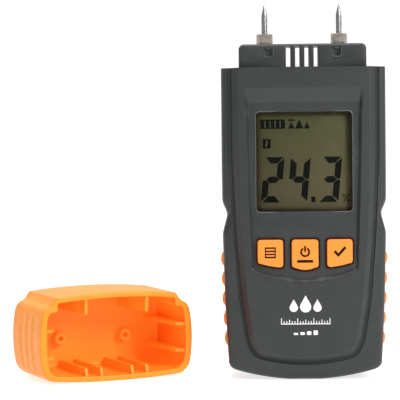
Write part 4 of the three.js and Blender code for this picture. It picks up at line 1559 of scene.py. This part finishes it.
def cap_axes():
    """The cap's directions along and across it, and the middle of its mouth."""
    away = np.array(joint("cap_draw_off")["axis"], float)
    across = np.array((away[1], -away[0], 0))
    mouth = (CAP_LOW + CAP_HIGH) / 2 - away * CAP_LENGTH / 2
    mouth[2] = CASE_REAR
    return away, across, mouth


def cap_to_world(points):
    """Turns cap points (across, section depth, distance from the mouth) to the frame's axes."""
    away, across, mouth = cap_axes()
    down = np.array((0, 0, -1.0))
    points = np.asarray(points, float)
    return mouth + points[:, :1] * across + points[:, 1:2] * down + points[:, 2:3] * away


def cap_rib(x, y, start, tip, chamfer, spread=0.0):
    """A rib from the mouth to the end wall, from pairs across and in depth. tip names the
    coordinate and side that is free, chamfer cuts it back at the mouth, and spread is how much
    taller it gets towards the end wall."""
    ends = (start, CAP_LENGTH - 1.2)
    points = np.vstack([at_level(box_shape(x[0], y[0], x[1], y[1]), end) for end in ends])
    coordinate, high = tip
    values = points[:, coordinate]
    free = values == (values.max() if high else values.min())
    near = points[:, 2] < CAP_LENGTH / 2
    points[free & ~near, coordinate] += spread if high else -spread
    points[free & near, 2] += chamfer
    faces = [(0, 1, 2, 3), (4, 5, 6, 7), (0, 1, 5, 4), (1, 2, 6, 5), (2, 3, 7, 6), (3, 0, 4, 7)]
    return soften(make_object("tool", cap_to_world(points), faces), 0.18, 2)


def cap_tubes(x, y, profile):
    """A turned solid each side of the cap's middle, along the cap's length."""
    return [
        loft("tool", [cap_to_world(at_level(circle(r, 40, side * x, y), d)) for r, d in profile])
        for side in (-1, 1)
    ]


def flute_wave(depth, count):
    """How deep the finger flutes are at a distance from the mouth, from 0 to 1."""
    aways = [abs(depth - (7.5 + k * 6.2)) / 2.5 for k in range(count)]
    return min(1.0, max([(1 - away) * 1.5 for away in aways if away < 1], default=0.0))


def cap_rings():
    """Rings over the outside from the end's middle to the mouth, then down the inside."""
    sizes = settings().cap
    outer, inner = cap_outer(), cap_inner()
    edge, bulge, lip, inner_lip, fillet, tiny = 0.9, 0.9, 0.75, 0.4, 1.6, 0.002
    end, bottom = CAP_LENGTH - bulge, CAP_LENGTH - 2.4
    face, floor = drawn_in(outer, edge), drawn_in(inner, fillet)
    rings = [
        (face * max(scale, tiny), CAP_LENGTH - bulge * scale**2)
        for scale in np.linspace(0, 1, 14)[:-1]
    ]
    rings += [
        (drawn_in(outer, inset), end - drop) for inset, drop in quarter_round(edge, 9, False)
    ]
    on_flank = smooth((np.abs(outer[:, 0]) - 28.2) / 1.2)
    on_flank = on_flank * smooth((outer[:, 1] + 9.6) / 2.5) * smooth((12.8 - outer[:, 1]) / 2.5)
    dent = closed_normals(outer) * on_flank[:, None] * (sizes.flute_depth / MM)
    for depth in np.linspace(end - edge - 0.5, lip, 80):
        rings.append((outer - dent * flute_wave(depth, sizes.flutes), depth))
    rings += [(drawn_in(outer, inset), drop) for inset, drop in quarter_round(lip, 6)[1:]]
    rings += [
        (drawn_in(inner, -inset), drop) for inset, drop in quarter_round(inner_lip, 5, False)
    ]
    rings += [(inner, depth) for depth in np.linspace(inner_lip, bottom - fillet, 16)[1:]]
    rings += [
        (drawn_in(inner, inset), bottom - drop) for inset, drop in quarter_round(fillet, 7)[1:]
    ]
    rings += [(floor * max(scale, tiny), bottom) for scale in np.linspace(1, 0, 9)[1:]]
    return [cap_to_world(at_level(risen(ring, depth), depth)) for ring, depth in rings]


class METER_OT_cap(bpy.types.Operator):
    """Build the protective cap with its inner ribs, rings and outer flutes"""

    bl_idname = "meter.cap"
    bl_label = "Protective Cap"

    def execute(self, context):
        cap = loft("cap_shell", cap_rings(), 38)
        root, half = 1.2, 0.65
        front, rear, wall_x = CAP_FRONT + root, CASE_REAR - root, CASE_HALF - 1.4
        ribs = []
        for side in (-1, 1):
            x = side * 12.0
            upper = (front, CAP_FRONT + 7.9)
            ribs.append(cap_rib((x - half, x + half), upper, 0.5, (1, True), 0.5))
            for across in (6.1, 12.0):
                x = side * across
                ribs.append(cap_rib((x - 0.6, x + 0.6), (rear - 4.0, rear), 0.6, (1, False), 1.1))
            for y in (-4.0, 6.0):
                wide = sorted((side * (CASE_HALF - 5.9), side * wall_x))
                ribs.append(cap_rib(wide, (y - half, y + half), 0.6, (0, side < 0), 1.6, 1.9))
        x, y, d, foot = 13.2, 1.8, 25.2, CAP_LENGTH - root
        boolean(cap, ribs + cap_tubes(x, y, [(2.1, d), (2.4, d + 0.3), (2.6, foot)]), "UNION", 38)
        holes = cap_tubes(x, y, [(1.0, 20), (1.0, d), (0.85, d + 0.4), (0.85, 28.2)])
        boolean(cap, holes, sharp=38)
        place(cap, "cap", "orange_plastic", cap_finish(), "protective_cap")
        return {"FINISHED"}


# ---------------------------------------------------------------- screws, battery, inner parts

class METER_OT_case_screws(bpy.types.Operator):
    """Build the four case screws with cross recesses"""

    bl_idname = "meter.case_screws"
    bl_label = "Case Screws"

    def execute(self, context):
        steel = turned_metal("screw_zinc", (0.42, 0.42, 0.44), 0.32, 0.15, 0.004, stain=0.25)
        seat, wide = 12.3, 2.6
        for number, (x, z) in enumerate(screw_places(), 1):
            low, high = node_box(f"case_screw_{number}")
            foot, top = low[1], high[1]
            profile = [(0.0, foot), (0.7, foot), (1.15, foot + 1.2), (1.15, seat), (2.5, seat)]
            profile.append((wide, seat + 0.3))
            for turn in np.linspace(0.15, 1, 6) * math.pi / 2:
                rise = (top - seat - 0.6) * math.sin(turn)
                profile.append((wide * math.cos(turn * 0.92), seat + 0.6 + rise))
            profile.append((0.0, top))
            screw = turned(profile, (x, 0, z), 48, "Y", f"screw_{number}")
            arms = [
                brick((x - a, 13.3, z - b), (x + a, 20, z + b))
                for a, b in ((1.7, 0.36), (0.36, 1.7))
            ]
            boolean(screw, arms, sharp=35)
            place(screw, "meter", "screw", steel, f"case_screw_{number}")
        return {"FINISHED"}


def battery_finish():
    """A printed metal jacket: a dark blue body with a silver band and a fine lacquer grain."""
    finish = Finish("battery_jacket")
    z = finish.axis("Z")
    low, high = node_box("battery_9v")
    height = high[2] - low[2]
    band_low = (low[2] + height * 0.62) * MM
    silver = finish.step(z, band_low, band_low + 0.0001)
    grain = finish.noise(0.5, 4, 0.6, (1, 1, 0.2))
    tone = finish.step(grain, 0.3, 0.7)
    blue = finish.blend(tone, (0.02, 0.05, 0.13), (0.03, 0.07, 0.17))
    grey = finish.blend(tone, (0.42, 0.42, 0.43), (0.55, 0.55, 0.56))
    return finish.surface(
        Base_Color=finish.blend(silver, blue, grey),
        Metallic=0.35 + silver * 0.6,
        Roughness=0.3 + (grain - 0.5) * 0.15,
        Normal=finish.bump(grain, 0.005),
    )


class METER_OT_battery(bpy.types.Operator):
    """Build the block battery and its snap"""

    bl_idname = "meter.battery"
    bl_label = "Battery"

    def execute(self, context):
        low, high = node_box("battery_9v")
        base, top, tip = low[2], high[2] - 2.0, high[2]
        outline = rounded_box_outline(low[0], high[0], low[1], high[1], 2.2)
        steps = [(1.2, base + 0.4), (0.9, base + 0.4), (0.8, base), (0.25, base),
                 (0.0, base + 0.3), (0.0, top - 0.3), (0.25, top), (0.8, top),
                 (0.9, top - 0.4), (1.2, top - 0.4)]
        battery = loft("battery", drawn_rings(outline, steps), 40)
        x, y = 6.35, (low[1] + high[1]) / 2
        socket = [(3.6, top - 1), (3.6, top + 0.6), (4.0, top + 1.3), (3.7, tip)]
        stud = [(2.6, top - 1), (2.6, top + 0.7), (2.9, top + 1.3), (2.7, top + 1.8), (2.3, tip)]
        tools = [turned(socket, (x, y, 0), 6), turned(stud, (-x, y, 0), 32)]
        boolean(battery, tools, "UNION", 40)
        place(battery, "meter", "battery_case", battery_finish(), "battery_9v")
        low, high = node_box("battery_snap")
        radius = (high[1] - low[1]) / 2 - 0.01
        outline = rounded_box_outline(low[0], high[0], low[1], high[1], radius, 10)
        parts = ((0.8, 0), (0.25, 0.06), (0, 0.25), (0, 0.7), (0.3, 0.92), (1.0, 1))
        steps = [(inset, low[2] + (high[2] - low[2]) * part) for inset, part in parts]
        snap = loft("battery_snap_pad", drawn_rings(outline, steps), 40)
        finish = moulded_plastic("snap_vinyl", (0.02, 0.02, 0.022), 0.4, 0.42, 0.15, 0.02)
        place(snap, "meter", "chip", finish, "battery_snap")
        return {"FINISHED"}


def board_finish():
    """Green solder mask over copper tracks, with bare plated pads."""
    finish = Finish("circuit_board")
    tracks = finish.cells(3.2, "DISTANCE_TO_EDGE")
    track = 1 - finish.step(tracks, 0.05, 0.08)
    pads = 1 - finish.step(finish.cells(2.4), 0.16, 0.2)
    weave = finish.noise(0.4, 3, 0.5)
    base = finish.blend(finish.step(weave, 0.3, 0.7), (0.008, 0.075, 0.026), (0.014, 0.1, 0.036))
    base = finish.blend(track * 0.7, base, (0.03, 0.2, 0.07))
    base = finish.blend(pads, base, (0.75, 0.72, 0.62))
    return finish.surface(
        Base_Color=base, Metallic=pads * 0.9, Roughness=0.34 + (weave - 0.5) * 0.2,
        Normal=finish.bump(track + pads, 0.02),
    )


INNER_PLASTICS = {  # by node: name, colour, grain, roughness, spread of colour, depth of grain
    "display_holder": ("natural_nylon", (0.68, 0.67, 0.6), 0.5, 0.5, 0.05, 0.01),
    "battery_foam": ("foam_grey", (0.05, 0.05, 0.055), 0.7, 0.9, 0.3, 0.12),
    "lead_red": ("lead_red_pvc", (0.45, 0.02, 0.015), 0.5, 0.4, 0.08, 0.006),
    "lead_black": ("lead_black_pvc", (0.015, 0.015, 0.017), 0.5, 0.4, 0.1, 0.006),
}


class METER_OT_inner_parts(bpy.types.Operator):
    """Give the carried-over inner parts their finishes"""

    bl_idname = "meter.inner_parts"
    bl_label = "Inner Parts"

    def execute(self, context):
        brass = turned_metal("collet_brass", (0.66, 0.47, 0.19), 0.28, 0.2, 0.006, stain=0.2)
        chip = moulded_plastic("chip_epoxy", (0.018, 0.018, 0.02), 0.18, 0.5, 0.12, 0.01)
        rubber = moulded_plastic("silicone_grey", (0.1, 0.1, 0.11), 0.25, 0.72, 0.1, 0.012)
        finishes = {
            "main_board": board_finish(),
            "crystal": turned_metal("crystal_can", (0.6, 0.6, 0.6), 0.3, 0.4, 0.004),
        }
        finishes |= dict.fromkeys(("controller_chip", "amplifier_chip", "buzzer"), chip)
        rubbers = ("contact_rubber_upper", "contact_rubber_lower", "keypad_mat")
        finishes |= dict.fromkeys(rubbers, rubber)
        for node, (name, *look) in INNER_PLASTICS.items():
            finishes[node] = moulded_plastic(name, *look)
        for word in ("left", "right"):
            finishes[f"collet_{word}"] = finishes[f"contact_strip_{word}"] = brass
        zinc = turned_metal("board_screw_zinc", (0.45, 0.45, 0.46), 0.34, 0.2, 0.004, stain=0.2)
        finishes |= {f"board_screw_{number}": zinc for number in range(1, 5)}
        for node, material in finishes.items():
            mesh = frame["nodes"][node].data
            mesh.materials.clear()
            mesh.materials.append(material)
        return {"FINISHED"}


# ---------------------------------------------------------------- stage

LAMPS = {  # by name: place, target and size in metres, and power in watts
    "key_light": ((1.0, -0.95, 0.8), (0, 0, 0.06), 0.5, 17),
    "front_light": ((-0.35, -1.1, 0.9), (0, 0, 0.05), 0.7, 1.5),
    "top_light": ((-0.05, -0.1, 1.2), (-0.03, 0, 0.03), 0.7, 8),
}


class METER_OT_stage(bpy.types.Operator):
    """Build the camera, the floor and the soft studio light"""

    bl_idname = "meter.stage"
    bl_label = "Stage"

    def execute(self, context):
        scene = context.scene
        scene.view_settings.view_transform = "Standard"
        data = bpy.data.cameras.new("camera")
        camera = bpy.data.objects.new("camera", data)
        scene.collection.objects.link(camera)
        data.sensor_width = 36
        data.lens = CAMERA_LENS
        data.clip_start, data.clip_end = 0.01, 50
        yaw, pitch, roll = (math.radians(angle) for angle in CAMERA_TURN)
        level = math.cos(pitch)
        look = Vector((math.sin(yaw) * level, math.cos(yaw) * level, math.sin(pitch)))
        camera.matrix_world = facing(CAMERA_PLACE, look) @ Matrix.Rotation(-roll, 4, "Z")
        scene.camera = camera
        corners = at_level(box_shape(-FLOOR_REACH, -FLOOR_REACH, FLOOR_REACH, FLOOR_REACH), 0)
        floor = make_object("floor", corners, [(0, 1, 2, 3)])
        floor.data.materials.append(floor_finish())
        scene.world = studio_world()
        for name, lamp in LAMPS.items():
            add_lamp(name, *lamp)
        return {"FINISHED"}


def studio_world():
    """White to look at; as a light, bright behind and above and dim at the sides and front."""
    world = bpy.data.worlds.new("studio")
    world.use_nodes = True
    kit = Finish.__new__(Finish)
    kit.tree = world.node_tree
    way = kit.node("ShaderNodeTexCoord", output="Generated")
    back = kit.node("ShaderNodeSeparateXYZ", {}, {0: way}, output="Y")
    up = kit.node("ShaderNodeSeparateXYZ", {}, {0: way}, output="Z")
    level = 0.14 + kit.step(back, -0.1, 0.6) * 0.75 + kit.step(up, 0.25, 0.95) * 0.4
    seen = kit.node("ShaderNodeLightPath", output="Is Camera Ray")
    level = level * (1 - seen) + seen * 1.1
    background = kit.tree.nodes["Background"]
    background.inputs["Color"].default_value = (1, 1, 1, 1)
    kit.feed(background.inputs["Strength"], level)
    return world


def floor_finish():
    """A plain pale floor."""
    finish = Finish("pale_floor")
    tone = finish.noise(60, 3)
    base = finish.blend(tone, (0.5, 0.5, 0.5), (0.53, 0.53, 0.53))
    return finish.surface(
        Base_Color=base, Roughness=0.7 + tone * 0.1, Specular_IOR_Level=0.1,
        Emission_Color=finish.blend(tone, (0.98, 0.98, 0.98), (1, 1, 1)), Emission_Strength=0.72,
    )


def facing(where, way):
    """The matrix of a camera or lamp at a place, looking along a direction."""
    return Matrix.Translation(where) @ way.to_track_quat("-Z", "Y").to_matrix().to_4x4()


def add_lamp(name, where, target, size, power):
    """A square soft light that faces a target."""
    data = bpy.data.lights.new(name, "AREA")
    data.size = size
    data.energy = power
    lamp = bpy.data.objects.new(name, data)
    bpy.context.scene.collection.objects.link(lamp)
    lamp.matrix_world = facing(where, Vector(target) - Vector(where))


# ---------------------------------------------------------------- panel and registration

OPERATORS = (
    METER_OT_stage,
    METER_OT_front_cover,
    METER_OT_rear_cover,
    METER_OT_battery_door,
    METER_OT_probe_head,
    METER_OT_pins_and_nuts,
    METER_OT_display,
    METER_OT_keys,
    METER_OT_front_print,
    METER_OT_side_grips,
    METER_OT_cap,
    METER_OT_case_screws,
    METER_OT_battery,
    METER_OT_inner_parts,
)


class METER_PT_sidebar(bpy.types.Panel):
    """Lists the meter's pieces and settings in the sidebar."""

    bl_label = "Moisture Meter"
    bl_idname = "METER_PT_sidebar"
    bl_space_type = "VIEW_3D"
    bl_region_type = "UI"
    bl_category = "Meter"

    def draw(self, context):
        layout = self.layout
        groups = context.scene.moisture_meter
        for group in (groups.case, groups.cap, groups.colours):
            box = layout.box()
            for name in group.__annotations__:
                box.prop(group, name)
        for operator in OPERATORS:
            layout.operator(operator.bl_idname)


CLASSES = (CaseSizes, CapSizes, FinishColours, MeterSettings, *OPERATORS, METER_PT_sidebar)


def register():
    """Registers the classes and hangs the settings on the scene."""
    for each in CLASSES:
        bpy.utils.register_class(each)
    bpy.types.Scene.moisture_meter = PointerProperty(type=MeterSettings)


def unregister():
    """Takes the settings and the classes away again."""
    del bpy.types.Scene.moisture_meter
    for each in reversed(CLASSES):
        bpy.utils.unregister_class(each)


def main():
    """Builds everything in order."""
    register()
    for operator in OPERATORS:
        group, name = operator.bl_idname.split(".")
        getattr(getattr(bpy.ops, group), name)()


if __name__ == "__main__":
    main()
